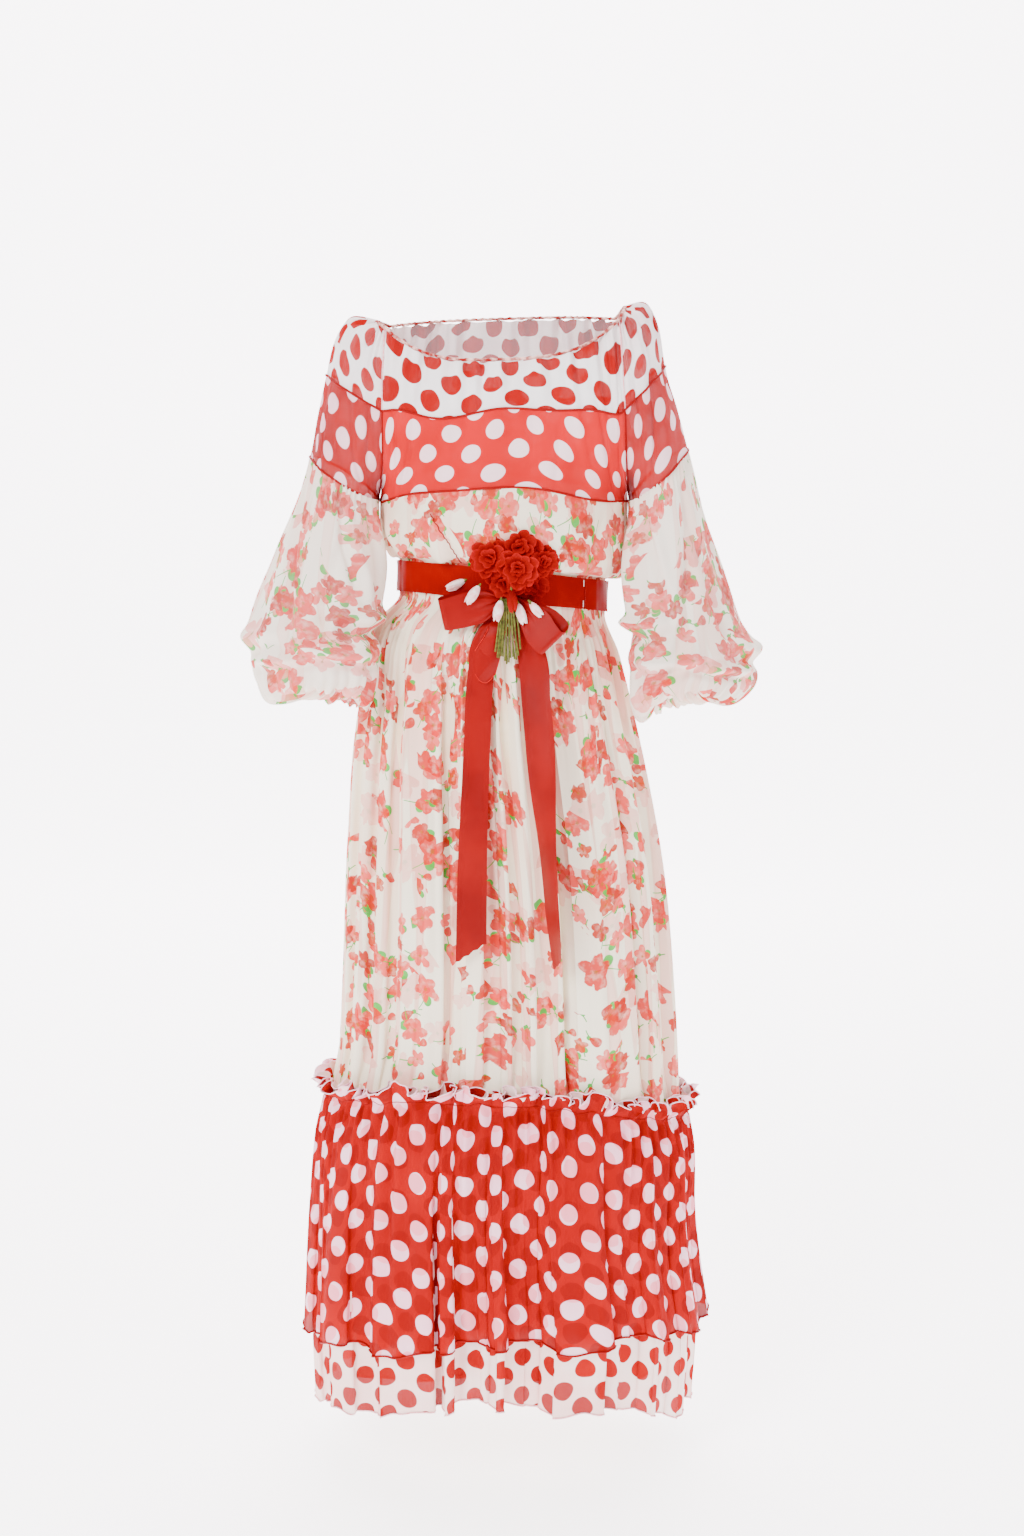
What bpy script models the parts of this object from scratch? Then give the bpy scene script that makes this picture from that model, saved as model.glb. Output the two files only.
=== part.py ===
"""A long peasant dress, worn and hollow: gathered neck, raglan shoulders in three tiers, balloon sleeves,
a bodice bloused over a ribbon belt with a bow and a silk posy, a gathered skirt over a slip,
and a double flounce with a ruffled heading.

Metres, +Z up, the front faces -Y and the wearer's left arm is at +X. The origin is the middle of
the neckline, where the wearer holds the dress. Every cloth piece is a thin wall round a grid of
points: its rows run down the cloth and its columns run round it, anticlockwise seen from above.
"""

import bpy
import numpy as np

# Driving dimensions
WALL = 0.0010
SEAM_GAP = 0.0003
BODY_COLUMNS = 20
SLEEVE_COLUMNS = 20
COLUMNS_PER_FOLD = 4

BINDING_HEIGHT = 0.006
BINDING_WALL = 0.0013
CUFF_HEIGHT = 0.010

# The waist is a slanting plane: lower at the wearer's left and at the back.
WAIST_Z = -0.311
WAIST_FALL_X = -0.10
WAIST_FALL_Y = -0.13
WAIST_RIGHT, WAIST_LEFT = 0.1295, 0.1275
WAIST_DEPTH = 0.0955

BELT_WIDTH = 0.038
BELT_WALL = 0.0010
BELT_CLEARANCE = 0.0005
BELT_COLUMNS = 48
# Degrees round the waist: where the belt's end lies, how far it laps, how long it takes to step over.
BELT_END_AT = -52.0
BELT_OVERLAP = 12.0
BELT_STEP_OVER = 18.0

SKIRT_FOLDS = 31
SKIRT_UNEVENNESS = 1.1
FLOUNCE_FOLDS = 28
FLOUNCE_UNEVENNESS = 1.3
SLIP_COLUMNS = 36
SLIP_FOLDS = 9
# Slow waves round the skirt that make its folds uneven: how many times round, phase, amount.
WIDTH_WAVES = ((3, 0.6, 1.0), (5, 2.1, 0.7), (8, 4.0, 0.5))
DEPTH_MEAN = 0.8
DEPTH_WAVES = ((4, 1.0, 0.12), (7, 2.5, 0.08))

# Each level line of the skirt: its mean height, how far +X is above it, and how far the front rises.
SKIRT_SEAM = (-0.985, -0.014, 0.046)
FLOUNCE_HEM = (-1.296, 0.006, 0.0355)
UNDER_HEM = (-1.409, -0.005, 0.059)
SLIP_HEM = (-1.362, 0.0, 0.045)

# A shoulder and sleeve, from the neck (station 0) over the yoke seam (1) and the band seam (2),
# where the raglan seams meet under the arm, down the balloon to the cuff. "outer" is the farthest
# point from the body, "seam" is on the front raglan seam or, below the arm, the inner side.
# "angle" is how far round the ring the seam lies, "forward" is how far the ring's middle is in
# front, "skew" is how much its front leans to the body.
SLEEVE_NAMES = ("station", "outer_x", "outer_z", "seam_x", "seam_z", "angle", "half_depth",
                "forward", "skew")
SLEEVE_RIGHT_ARM = (
    (0.00, 0.156, 0.010, 0.141, 0.003, 60, 0.058, 0.000, 0.00),
    (0.35, 0.181, 0.015, 0.142, -0.028, 70, 0.072, 0.000, 0.00),
    (0.70, 0.203, -0.012, 0.143, -0.062, 82, 0.082, 0.000, 0.00),
    (1.00, 0.214, -0.052, 0.143, -0.092, 95, 0.086, 0.000, 0.00),
    (1.50, 0.226, -0.102, 0.144, -0.155, 130, 0.085, 0.000, 0.00),
    (2.00, 0.236, -0.151, 0.152, -0.203, 180, 0.080, 0.002, 0.00),
    (2.50, 0.253, -0.203, 0.157, -0.248, 180, 0.086, 0.012, 0.05),
    (3.00, 0.277, -0.262, 0.159, -0.298, 180, 0.090, 0.026, 0.14),
    (3.50, 0.304, -0.325, 0.157, -0.346, 180, 0.091, 0.042, 0.24),
    (4.00, 0.319, -0.377, 0.156, -0.393, 180, 0.088, 0.058, 0.33),
    (4.50, 0.308, -0.422, 0.159, -0.436, 180, 0.078, 0.070, 0.35),
    (4.80, 0.282, -0.444, 0.166, -0.455, 180, 0.062, 0.076, 0.25),
    (5.00, 0.254, -0.438, 0.170, -0.444, 180, 0.044, 0.080, 0.10),
    (5.20, 0.243, -0.424, 0.172, -0.427, 180, 0.037, 0.080, 0.00),
)
SLEEVE_LEFT_ARM = (
    (0.00, 0.150, 0.027, 0.139, 0.012, 60, 0.058, 0.000, 0.00),
    (0.35, 0.169, 0.032, 0.141, -0.020, 70, 0.072, 0.000, 0.00),
    (0.70, 0.187, 0.004, 0.143, -0.058, 82, 0.082, 0.000, 0.00),
    (1.00, 0.196, -0.042, 0.145, -0.090, 95, 0.086, 0.000, 0.00),
    (1.50, 0.212, -0.092, 0.148, -0.155, 130, 0.085, 0.000, 0.00),
    (2.00, 0.226, -0.141, 0.154, -0.205, 180, 0.080, 0.002, 0.00),
    (2.50, 0.241, -0.200, 0.160, -0.252, 180, 0.086, 0.012, 0.05),
    (3.00, 0.262, -0.268, 0.162, -0.303, 180, 0.090, 0.026, 0.14),
    (3.50, 0.288, -0.342, 0.160, -0.350, 180, 0.091, 0.042, 0.24),
    (4.00, 0.308, -0.392, 0.158, -0.400, 180, 0.088, 0.058, 0.33),
    (4.50, 0.301, -0.430, 0.158, -0.446, 180, 0.078, 0.070, 0.35),
    (4.80, 0.276, -0.446, 0.167, -0.466, 180, 0.062, 0.076, 0.25),
    (5.00, 0.258, -0.440, 0.176, -0.452, 180, 0.044, 0.080, 0.10),
    (5.20, 0.250, -0.426, 0.180, -0.433, 180, 0.037, 0.080, 0.00),
)
UNDERARM_CLEARANCE = 0.0024
RAGLAN_GAP = 0.0006
TIER_GAP = 0.0003

# Rows of each tier and the depth of the gathers at each.
GATHER_NAMES = ("station", "gather")
YOKE_ROWS = ((0.0, 0.0016), (0.5, 0.0016), (1.0, 0.0006))
BAND_ROWS = ((1.0, 0.0006), (1.35, 0.0008), (1.7, 0.0008), (2.0, 0.0006))
BALLOON_ROWS = (
    (2.0, 0.0006), (2.5, 0.0024), (3.0, 0.0034), (3.5, 0.0040), (4.0, 0.0040),
    (4.5, 0.0034), (4.8, 0.0024), (5.0, 0.0012), (5.2, 0.0006),
)
SLEEVE_GATHER_SHARE = 0.8

# The front and back between the raglan seams: the middle of each at the neck, yoke and band seams.
# "square" is how far round its corners a section turns, "dip" shapes the fall of the line to its middle.
BODY_NAMES = ("station", "front_y", "front_z", "back_y", "back_z", "square", "dip")
BODY = (
    (0.0, -0.100, -0.034, 0.085, 0.012, 72, 3.2),
    (1.0, -0.113, -0.090, 0.106, -0.075, 80, 3.0),
    (2.0, -0.120, -0.183, 0.112, -0.185, 90, 2.4),
)

# The bodice from the band seam (0) to the lowest line of the blousing (1).
BODICE_NAMES = ("fall", "right_x", "left_x", "front_y", "back_y", "gather")
BODICE = (
    (0.0, 0.1510, 0.1530, -0.120, 0.112, 0.0008),
    (0.4, 0.1525, 0.1540, -0.126, 0.118, 0.0022),
    (0.8, 0.1490, 0.1540, -0.124, 0.118, 0.0026),
    (1.0, 0.1400, 0.1460, -0.113, 0.108, 0.0022),
)
BLOUSE_ABOVE_BELT = 0.006
# Under the blousing the cloth turns in over the belt and ends behind it: its height above the waist
# line and how far it stands out of the waist.
TUCK_NAMES = ("rise", "swell", "gather")
TUCK = (
    (BELT_WIDTH / 2 + 0.0035, 0.0035, 0.0004),
    (BELT_WIDTH / 2 + 0.0016, 0.0, 0.0),
    (0.0, 0.0, 0.0),
)

# The skirt from the waist (0) to the seam under the heading (1): outer half-widths and depth.
SKIRT_NAMES = ("fall", "right_x", "left_x", "half_depth", "fold")
SKIRT = (
    (0.000, 0.1295, 0.1275, 0.0955, 0.0002),
    (0.032, 0.1295, 0.1275, 0.0955, 0.0003),
    (0.090, 0.1600, 0.1400, 0.1080, 0.0025),
    (0.250, 0.1900, 0.1680, 0.1240, 0.0050),
    (0.500, 0.2070, 0.2030, 0.1380, 0.0070),
    (0.760, 0.2160, 0.2220, 0.1450, 0.0070),
    (1.000, 0.2260, 0.2330, 0.1490, 0.0022),
)

# The flounce, measured down from the seam: outer half-widths, depth and fold depth.
FLOUNCE_NAMES = ("drop", "right_x", "left_x", "half_depth", "fold")
FLOUNCE = (
    (-0.020, 0.2385, 0.2455, 0.1610, 0.0050),
    (0.000, 0.2335, 0.2405, 0.1560, 0.0015),
    (0.050, 0.2440, 0.2500, 0.1620, 0.0050),
    (0.150, 0.2560, 0.2580, 0.1690, 0.0085),
    (0.310, 0.2680, 0.2810, 0.1790, 0.0115),
)
FLOUNCE_DEPTH = 0.310
UNDER = (
    (-0.024, 0.2368, 0.2438, 0.1593, 0.0052),
    (0.000, 0.2304, 0.2374, 0.1529, 0.0015),
    (0.050, 0.2400, 0.2460, 0.1580, 0.0048),
    (0.150, 0.2505, 0.2530, 0.1635, 0.0080),
    (0.310, 0.2600, 0.2700, 0.1710, 0.0105),
    (0.424, 0.2580, 0.2650, 0.1700, 0.0115),
)

# The slip under the skirt, by height.
SLIP_NAMES = ("height", "right_x", "left_x", "half_depth", "fold")
SLIP = (
    (-0.311, 0.1270, 0.1250, 0.0930, 0.0000),
    (-0.345, 0.1275, 0.1255, 0.0935, 0.0000),
    (-0.460, 0.1700, 0.1480, 0.1110, 0.0020),
    (-0.640, 0.1860, 0.1800, 0.1180, 0.0040),
    (-0.960, 0.2060, 0.2120, 0.1330, 0.0040),
    (-1.362, 0.2200, 0.2240, 0.1450, 0.0060),
)
# The slip's bodice, by its rise from the waist: how much wider and deeper it is than the waist.
SLIP_BODICE = ((0.100, 1.07, 1.15), (0.045, 1.06, 1.10), (0.024, 1.0, 1.0), (0.0, 1.0, 1.0))

# The knot sits on the belt. Its ends are narrower than its middle by the share KNOT_TAPER.
KNOT_X, KNOT_Z = 0.006, -0.316
KNOT_HALF_WIDTH = 0.009
KNOT_HALF_HEIGHT = 0.0145
KNOT_HALF_DEPTH = 0.0085
KNOT_TAPER = 0.18
KNOT_SIDES = 16
KNOT_Y = -(WAIST_DEPTH + BELT_CLEARANCE + BELT_WALL + SEAM_GAP + WALL / 2 + KNOT_HALF_DEPTH)

# The bow's loops: from a root in the knot to a tip, half open by so much, and leaning forward. The
# ribbon is pinched at the root and opens to its full width over a share of the loop's length.
RIBBON_HALF_WIDTH = 0.019
LOOP_NAMES = ("root_x", "root_z", "root_spread", "tip_x", "tip_z", "half_open", "forward", "pinch_length")
LOOP_RIGHT = (-0.0015, -0.3155, 0.0043, -0.074, -0.331, 0.0060, 0.0060, 0.4)
LOOP_LEFT = (0.0150, -0.3130, 0.0032, 0.064, -0.362, 0.0045, 0.0160, 0.7)
LOOP_PINCH = 0.20
LOOP_STEPS = 5

# The hanging ends, from under the knot: "width" is the ribbon's share of its full width there.
TAIL_NAMES = ("height", "middle_x", "turn", "width")
RIGHT_TAIL = (
    (-0.3297, 0.0010, 0, 0.29),
    (-0.3360, -0.0060, 0, 0.50),
    (-0.3560, -0.0190, 2, 0.75),
    (-0.4000, -0.0260, 8, 0.84),
    (-0.4840, -0.0310, 10, 0.85),
    (-0.6000, -0.0360, 8, 0.92),
    (-0.7420, -0.0390, 4, 1.00),
)
LEFT_TAIL = (
    (-0.3297, 0.0115, 0, 0.24),
    (-0.3360, 0.0150, 0, 0.42),
    (-0.3560, 0.0265, 0, 0.72),
    (-0.4460, 0.0410, -14, 0.95),
    (-0.5690, 0.0500, -45, 1.00),
    (-0.6600, 0.0570, -64, 1.00),
    (-0.7520, 0.0670, -76, 1.00),
)
TAIL_ROWS = 9
TAIL_TOP_BEHIND_KNOT = 0.0038
TAIL_CLEARANCE = 0.0012
TAIL_END_SLANT = 0.012

# Each bloom is a fan of rings: share of its radius, share of its depth in front of its back.
BLOOM_NAMES = ("x", "z", "radius", "back_y")
BLOOMS = (
    (-0.0140, -0.2620, 0.0163, -0.1224),
    (0.0190, -0.2500, 0.0163, -0.1235),
    (0.0480, -0.2665, 0.0143, -0.1210),
    (0.0030, -0.2925, 0.0150, -0.1111),
    (0.0338, -0.2950, 0.0148, -0.0950),
    (0.0175, -0.2730, 0.0125, -0.1312),
)
BLOOM_SHAPE = ((0.0, 0.0), (0.85, 0.05), (0.95, 0.55), (0.40, 0.95), (0.0, 0.75))
BLOOM_DEPTH = 0.013
PETALS = 5
PETAL_NOTCH = 0.12

# Each bud is a spindle of rings: share of its length, share of its half-width.
BUD_NAMES = ("x", "z", "y", "slant", "length")
BUDS = (
    (-0.0550, -0.2970, -0.0927, 65, 0.020),
    (-0.0345, -0.3050, -0.1191, 35, 0.021),
    (-0.0045, -0.3235, -0.1225, 12, 0.021),
    (0.0215, -0.3275, -0.1198, -18, 0.021),
    (0.0385, -0.3225, -0.1213, -40, 0.018),
)
BUD_SHAPE = ((0.0, 0.0), (0.16, 0.45), (0.5, 0.95), (0.78, 0.8), (1.0, 0.0))
BUD_HALF_WIDTH = 0.24
BUD_SIDES = 6

# The stems fan out from the front of the knot; the outer ones end higher.
STEMS = 7
STEM_RADIUS = 0.0010
STEM_SIDES = 5
STEM_TOP_SPREAD = 0.0070
STEM_FOOT_SPREAD = 0.0145
STEM_FOOT_Z = -0.386
STEM_FOOT_RISE = 0.011
STEM_LEAN = 0.0065

COLOURS = {
    "ribbon": (0.66, 0.008, 0.012),
    "yoke": (0.90, 0.82, 0.82),
    "band": (0.82, 0.13, 0.17),
    "floral": (0.93, 0.80, 0.74),
    "flounce": (0.80, 0.03, 0.05),
    "under_flounce": (0.90, 0.74, 0.75),
    "slip": (0.93, 0.86, 0.76),
    "bloom": (0.70, 0.01, 0.02),
    "bud": (0.90, 0.80, 0.74),
    "stem": (0.10, 0.12, 0.04),
}
SATIN_ROUGHNESS = 0.32
CLOTH_ROUGHNESS = 0.75


def clear_scene():
    for thing in list(bpy.data.objects):
        bpy.data.objects.remove(thing)


def material(name, colour, roughness):
    made = bpy.data.materials.new(name)
    made.use_nodes = True
    shader = made.node_tree.nodes["Principled BSDF"]
    shader.inputs["Base Color"].default_value = (*COLOURS[colour], 1.0)
    shader.inputs["Roughness"].default_value = roughness
    shader.inputs["Metallic"].default_value = 0.0
    return made


def volume_of(points, faces):
    """The signed volume inside a mesh, as the sum of the tetrahedra from the origin to each triangle."""
    total = 0.0
    for face in faces:
        for second in range(1, len(face) - 1):
            a, b, c = points[face[0]], points[face[second]], points[face[second + 1]]
            total += np.dot(a, np.cross(b, c)) / 6
    return total


def add_solid(name, points, faces, colour, roughness=CLOTH_ROUGHNESS):
    """Makes one closed object whose faces point out."""
    points = np.asarray(points, float)
    if volume_of(points, faces) < 0:
        faces = [tuple(reversed(face)) for face in faces]
    mesh = bpy.data.meshes.new(name)
    mesh.from_pydata([tuple(p) for p in points], [], faces)
    mesh.update()
    mesh.shade_smooth()
    mesh.materials.append(material(name, colour, roughness))
    made = bpy.data.objects.new(name, mesh)
    bpy.context.scene.collection.objects.link(made)
    return made


def table(rows, names, wanted):
    return np.array([row[names.index(wanted)] for row in rows], float)


def rows_of(rows, names):
    return [dict(zip(names, row)) for row in rows]


def smooth(at, known, values):
    """Values between a table's rows, on a curve through them whose slope comes from the rows beside it."""
    at = np.asarray(at, float)
    slopes = np.gradient(values, known)
    steps = np.diff(values) / np.diff(known)
    flat = np.zeros(len(known), bool)
    flat[1:-1] = steps[1:] * steps[:-1] <= 0
    slopes = np.where(flat, 0.0, slopes)
    i = np.clip(np.searchsorted(known, at, side="right") - 1, 0, len(known) - 2)
    width = known[i + 1] - known[i]
    s = np.clip((at - known[i]) / width, 0, 1)
    return (
        values[i] * (1 + 2 * s) * (1 - s) ** 2
        + slopes[i] * width * s * (1 - s) ** 2
        + values[i + 1] * s * s * (3 - 2 * s)
        + slopes[i + 1] * width * s * s * (s - 1)
    )


def normals(grid, closed):
    """Unit normals of a grid: the way down the cloth crossed with the way round it."""
    down = np.gradient(grid, axis=0)
    if closed:
        around = np.roll(grid, -1, axis=1) - np.roll(grid, 1, axis=1)
    else:
        around = np.gradient(grid, axis=1)
    found = np.cross(down, around)
    return found / np.maximum(np.linalg.norm(found, axis=2, keepdims=True), 1e-12)


def trimmed(grid, top=0.0, bottom=0.0, first=0.0, last=0.0):
    """The grid with its outer rows and columns moved in along the cloth by these lengths."""
    grid = grid.copy()

    def pulled(edge, beside, length):
        way = beside - edge
        return edge + way / np.linalg.norm(way, axis=-1, keepdims=True) * length

    if top:
        grid[0] = pulled(grid[0], grid[1], top)
    if bottom:
        grid[-1] = pulled(grid[-1], grid[-2], bottom)
    if first:
        grid[:, 0] = pulled(grid[:, 0], grid[:, 1], first)
    if last:
        grid[:, -1] = pulled(grid[:, -1], grid[:, -2], last)
    return grid


def wall(name, grid, colour, closed=False, thick=WALL, roughness=CLOTH_ROUGHNESS, way=None):
    """A closed wall: the grid moved half the thickness each way along its normals, joined round its rims.

    way gives the normals where the grid is cut from a larger one, so that its cut ends meet squarely.
    """
    rows, columns = grid.shape[:2]
    if way is None:
        way = normals(grid, closed)
    sides = np.concatenate([grid + way * thick / 2, grid - way * thick / 2])
    points = sides.reshape(-1, 3)

    def at(side, row, column):
        return (side * rows + row) * columns + column % columns

    spans = columns if closed else columns - 1
    faces = []
    for row in range(rows - 1):
        for column in range(spans):
            outer = [at(0, row, column), at(0, row, column + 1),
                     at(0, row + 1, column + 1), at(0, row + 1, column)]
            inner = [at(1, row, column), at(1, row + 1, column),
                     at(1, row + 1, column + 1), at(1, row, column + 1)]
            faces += [tuple(outer), tuple(inner)]
    for column in range(spans):
        faces.append((at(0, 0, column), at(1, 0, column), at(1, 0, column + 1), at(0, 0, column + 1)))
        last = rows - 1
        faces.append((at(0, last, column), at(0, last, column + 1),
                      at(1, last, column + 1), at(1, last, column)))
    if not closed:
        for row in range(rows - 1):
            faces.append((at(0, row, 0), at(0, row + 1, 0), at(1, row + 1, 0), at(1, row, 0)))
            last = columns - 1
            faces.append((at(0, row, last), at(1, row, last), at(1, row + 1, last), at(0, row + 1, last)))
    return add_solid(name, points, faces, colour, roughness)


def waist_height(x, y):
    return WAIST_Z + WAIST_FALL_X * x + WAIST_FALL_Y * y


def level_height(level, angle):
    """A line round the skirt: its mean height, its tilt to +X, and its rise at the front."""
    mean, tilt, rise = level
    front = np.clip(-np.sin(angle), 0, 1)
    return mean + tilt * np.cos(angle) + rise * front ** 2


def oval(angle, right_x, left_x, half_depth):
    """A level ring, with a half-width of its own on each side."""
    middle = (left_x - right_x) / 2
    half_width = (left_x + right_x) / 2
    return middle + half_width * np.cos(angle), half_depth * np.sin(angle)


def waves(angle, terms):
    """A sum of sines round the ring."""
    return sum(amount * np.sin(times * angle + phase) for times, phase, amount in terms)


def fold_angles(folds, unevenness):
    """Angles at the crest, side, trough and side of each fold. The folds' widths vary round the ring."""
    fine = np.linspace(0, 2 * np.pi, 2001)
    phase = folds * fine + unevenness * waves(fine, WIDTH_WAVES)
    phase -= phase[0]
    wanted = np.arange(folds * COLUMNS_PER_FOLD) * (2 * np.pi / COLUMNS_PER_FOLD)
    return np.interp(wanted, phase, fine), np.cos(wanted)


def fold_depths(angle):
    """How deep the folds are round the ring, from about 0.6 to 1."""
    return DEPTH_MEAN + waves(angle, DEPTH_WAVES)


def folded_ring(angle, wave, row):
    """One ring of a folded tube: an oval with the folds' wave on it, whose crests reach the outline."""
    fold = row["fold"]
    depth = fold * fold_depths(angle)
    out = depth * wave - fold - WALL / 2
    return oval(angle, row["right_x"] + out, row["left_x"] + out, row["half_depth"] + out)


def sleeve_ring(arm, stations, turns, clearance=True):
    """Points of a shoulder and sleeve: part of an ellipse from seam to seam over its outer point.

    The ring's middle is M and its outer point M + R, so a point at angle t is M + R cos t, with
    half_depth sin t to the front or back. turns runs from -1, at the first seam, to 1, at the second.
    """
    side, rows = arm

    def column(name):
        return smooth(stations, table(rows, SLEEVE_NAMES, "station"), table(rows, SLEEVE_NAMES, name))

    angle = np.radians(column("angle"))
    outer = np.stack([column("outer_x"), column("outer_z")], axis=1)
    seam = np.stack([column("seam_x"), column("seam_z")], axis=1)
    if clearance:
        near = np.clip(np.asarray(stations) - 1.0, 0, 1)
        seam[:, 0] += UNDERARM_CLEARANCE * near
    reach = (outer - seam) / (1 - np.cos(angle))[:, None]
    middle = outer - reach
    t = angle[:, None] * np.asarray(turns)[None, :]
    x = middle[:, :1] + reach[:, :1] * np.cos(t)
    z = middle[:, 1:] + reach[:, 1:] * np.cos(t)
    y = side * column("half_depth")[:, None] * np.sin(t)
    x = x + column("skew")[:, None] * y
    y = y - column("forward")[:, None]
    return np.stack([side * x, y, z], axis=2)


RIGHT_ARM = (-1, SLEEVE_RIGHT_ARM)
LEFT_ARM = (1, SLEEVE_LEFT_ARM)


def panel(first, last, middle, square, dip, columns):
    """A front or back between two edges, row by row.

    Across a row the angle p runs from -square to square. x follows sin p from edge to edge, y goes
    from the edges to the middle as cos p does, and z falls to the middle with the power dip.
    """
    across = np.linspace(-1, 1, columns + 1)
    p = np.radians(square)[:, None] * across[None, :]
    end = np.radians(square)[:, None]
    w = np.sin(p) / np.sin(end)
    bulge = (np.cos(p) - np.cos(end)) / (1 - np.cos(end))
    fall = 1 - np.abs(w) ** dip[:, None]
    grid = np.zeros((len(square), columns + 1, 3))
    for axis in range(3):
        start = first[:, axis][:, None]
        stop = last[:, axis][:, None]
        grid[:, :, axis] = start + (stop - start) * (1 + w) / 2
    edges = (first + last) / 2
    grid[:, :, 1] += (middle[:, 0] - edges[:, 1])[:, None] * bulge
    grid[:, :, 2] += (middle[:, 1] - edges[:, 2])[:, None] * fall
    return grid


def body_grid(stations, front, columns=BODY_COLUMNS):
    """The front or back at these stations, from one raglan seam to the other."""
    stations = np.asarray(stations, float)

    def column(name):
        return smooth(stations, table(BODY, BODY_NAMES, "station"), table(BODY, BODY_NAMES, name))

    ends = np.array([-1.0, 1.0])
    right = sleeve_ring(RIGHT_ARM, stations, ends, clearance=False)
    left = sleeve_ring(LEFT_ARM, stations, ends, clearance=False)
    square, dip = column("square"), column("dip")
    if front:
        middle = np.stack([column("front_y"), column("front_z")], axis=1)
        return panel(right[:, 1], left[:, 0], middle, square, dip, columns)
    middle = np.stack([column("back_y"), column("back_z")], axis=1)
    return panel(left[:, 1], right[:, 0], middle, square, dip, columns)


def gathered(grid, folds, depths):
    """The grid pushed in and out along its normals, with no push at its side edges."""
    across = np.linspace(0, 1, grid.shape[1])
    edge = np.clip(np.minimum(across, 1 - across) * 8, 0, 1)
    wave = np.cos(2 * np.pi * folds * across) * edge
    push = np.asarray(depths)[:, None] * wave[None, :]
    return grid + normals(grid, closed=False) * push[:, :, None]


def tier_names(tier):
    return {part: f"{tier}_{part}" for part in ("front", "back", "sleeve_right", "sleeve_left")}


def upper_tier(tier, rows, top_trim):
    """The four pieces of a tier, with a seam's gap between them, wider under the arm."""
    names = tier_names(tier)
    stations = table(rows, GATHER_NAMES, "station")
    depths = table(rows, GATHER_NAMES, "gather")
    half = SEAM_GAP / 2
    side = half + RAGLAN_GAP
    across = np.linspace(-1, 1, SLEEVE_COLUMNS + 1)
    for part, front in (("front", True), ("back", False)):
        grid = gathered(body_grid(stations, front), BODY_COLUMNS // COLUMNS_PER_FOLD, depths)
        wall(names[part], trimmed(grid, top_trim, half, side, side), tier)
    for part, arm in (("sleeve_right", RIGHT_ARM), ("sleeve_left", LEFT_ARM)):
        grid = sleeve_ring(arm, stations, across)
        grid = gathered(grid, SLEEVE_COLUMNS // COLUMNS_PER_FOLD, depths * SLEEVE_GATHER_SHARE)
        wall(names[part], trimmed(grid, top_trim, half, side, side), tier)


def neck_binding():
    """The narrow elastic binding: the yokes' top edges, carried up along the cloth."""
    across = np.linspace(-1, 1, SLEEVE_COLUMNS + 1)
    stations = (0.0, 0.1)
    parts = (
        body_grid(stations, True)[:, :-1],
        sleeve_ring(LEFT_ARM, stations, across)[:, :-1],
        body_grid(stations, False)[:, :-1],
        sleeve_ring(RIGHT_ARM, stations, across)[:, :-1],
    )
    ring = np.concatenate(parts, axis=1)[:, ::2]
    rise = ring[0] - ring[1]
    rise /= np.linalg.norm(rise, axis=1, keepdims=True)
    rise[:, 2] += 1.0
    rise /= np.linalg.norm(rise, axis=1, keepdims=True)
    grid = np.stack([ring[0] + rise * BINDING_HEIGHT, ring[0] + rise * SEAM_GAP])
    wall("neck_binding", grid, "ribbon", closed=True, thick=BINDING_WALL)


def bodice_grid(front):
    """The bodice's front or back: the band seam, the blousing, then in over the belt and down behind it."""
    falls = table(BODICE, BODICE_NAMES, "fall")
    seam = body_grid((2.0,), front)[0]
    blouse = BELT_WIDTH / 2 + BLOUSE_ABOVE_BELT
    rows = [seam]
    side = "front_y" if front else "back_y"
    across = np.linspace(-1, 1, BODY_COLUMNS + 1) * (np.pi / 2)
    turn = 1 if front else -1

    def ring(right_x, left_x, middle_y):
        middle = (left_x - right_x) / 2
        half_width = (left_x + right_x) / 2
        return middle + turn * half_width * np.sin(across), middle_y * np.cos(across)

    for i in range(1, len(BODICE)):
        x, y = ring(
            table(BODICE, BODICE_NAMES, "right_x")[i],
            table(BODICE, BODICE_NAMES, "left_x")[i],
            table(BODICE, BODICE_NAMES, side)[i],
        )
        z = seam[:, 2] * (1 - falls[i]) + (waist_height(x, y) + blouse) * falls[i]
        rows.append(np.stack([x, y, z], axis=1))
    depth = -WAIST_DEPTH if front else WAIST_DEPTH
    for row in rows_of(TUCK, TUCK_NAMES):
        out = row["swell"] - WALL / 2
        x, y = ring(WAIST_RIGHT + out, WAIST_LEFT + out, depth + np.sign(depth) * out)
        rows.append(np.stack([x, y, waist_height(x, y) + row["rise"]], axis=1))
    return np.array(rows)


def bodice():
    half = SEAM_GAP / 2
    depths = np.append(table(BODICE, BODICE_NAMES, "gather"), table(TUCK, TUCK_NAMES, "gather"))
    for name, front in (("bodice_front", True), ("bodice_back", False)):
        grid = gathered(bodice_grid(front), BODY_COLUMNS // COLUMNS_PER_FOLD, depths)
        wall(name, trimmed(grid, half + TIER_GAP, half, half, half), "floral")


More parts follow.
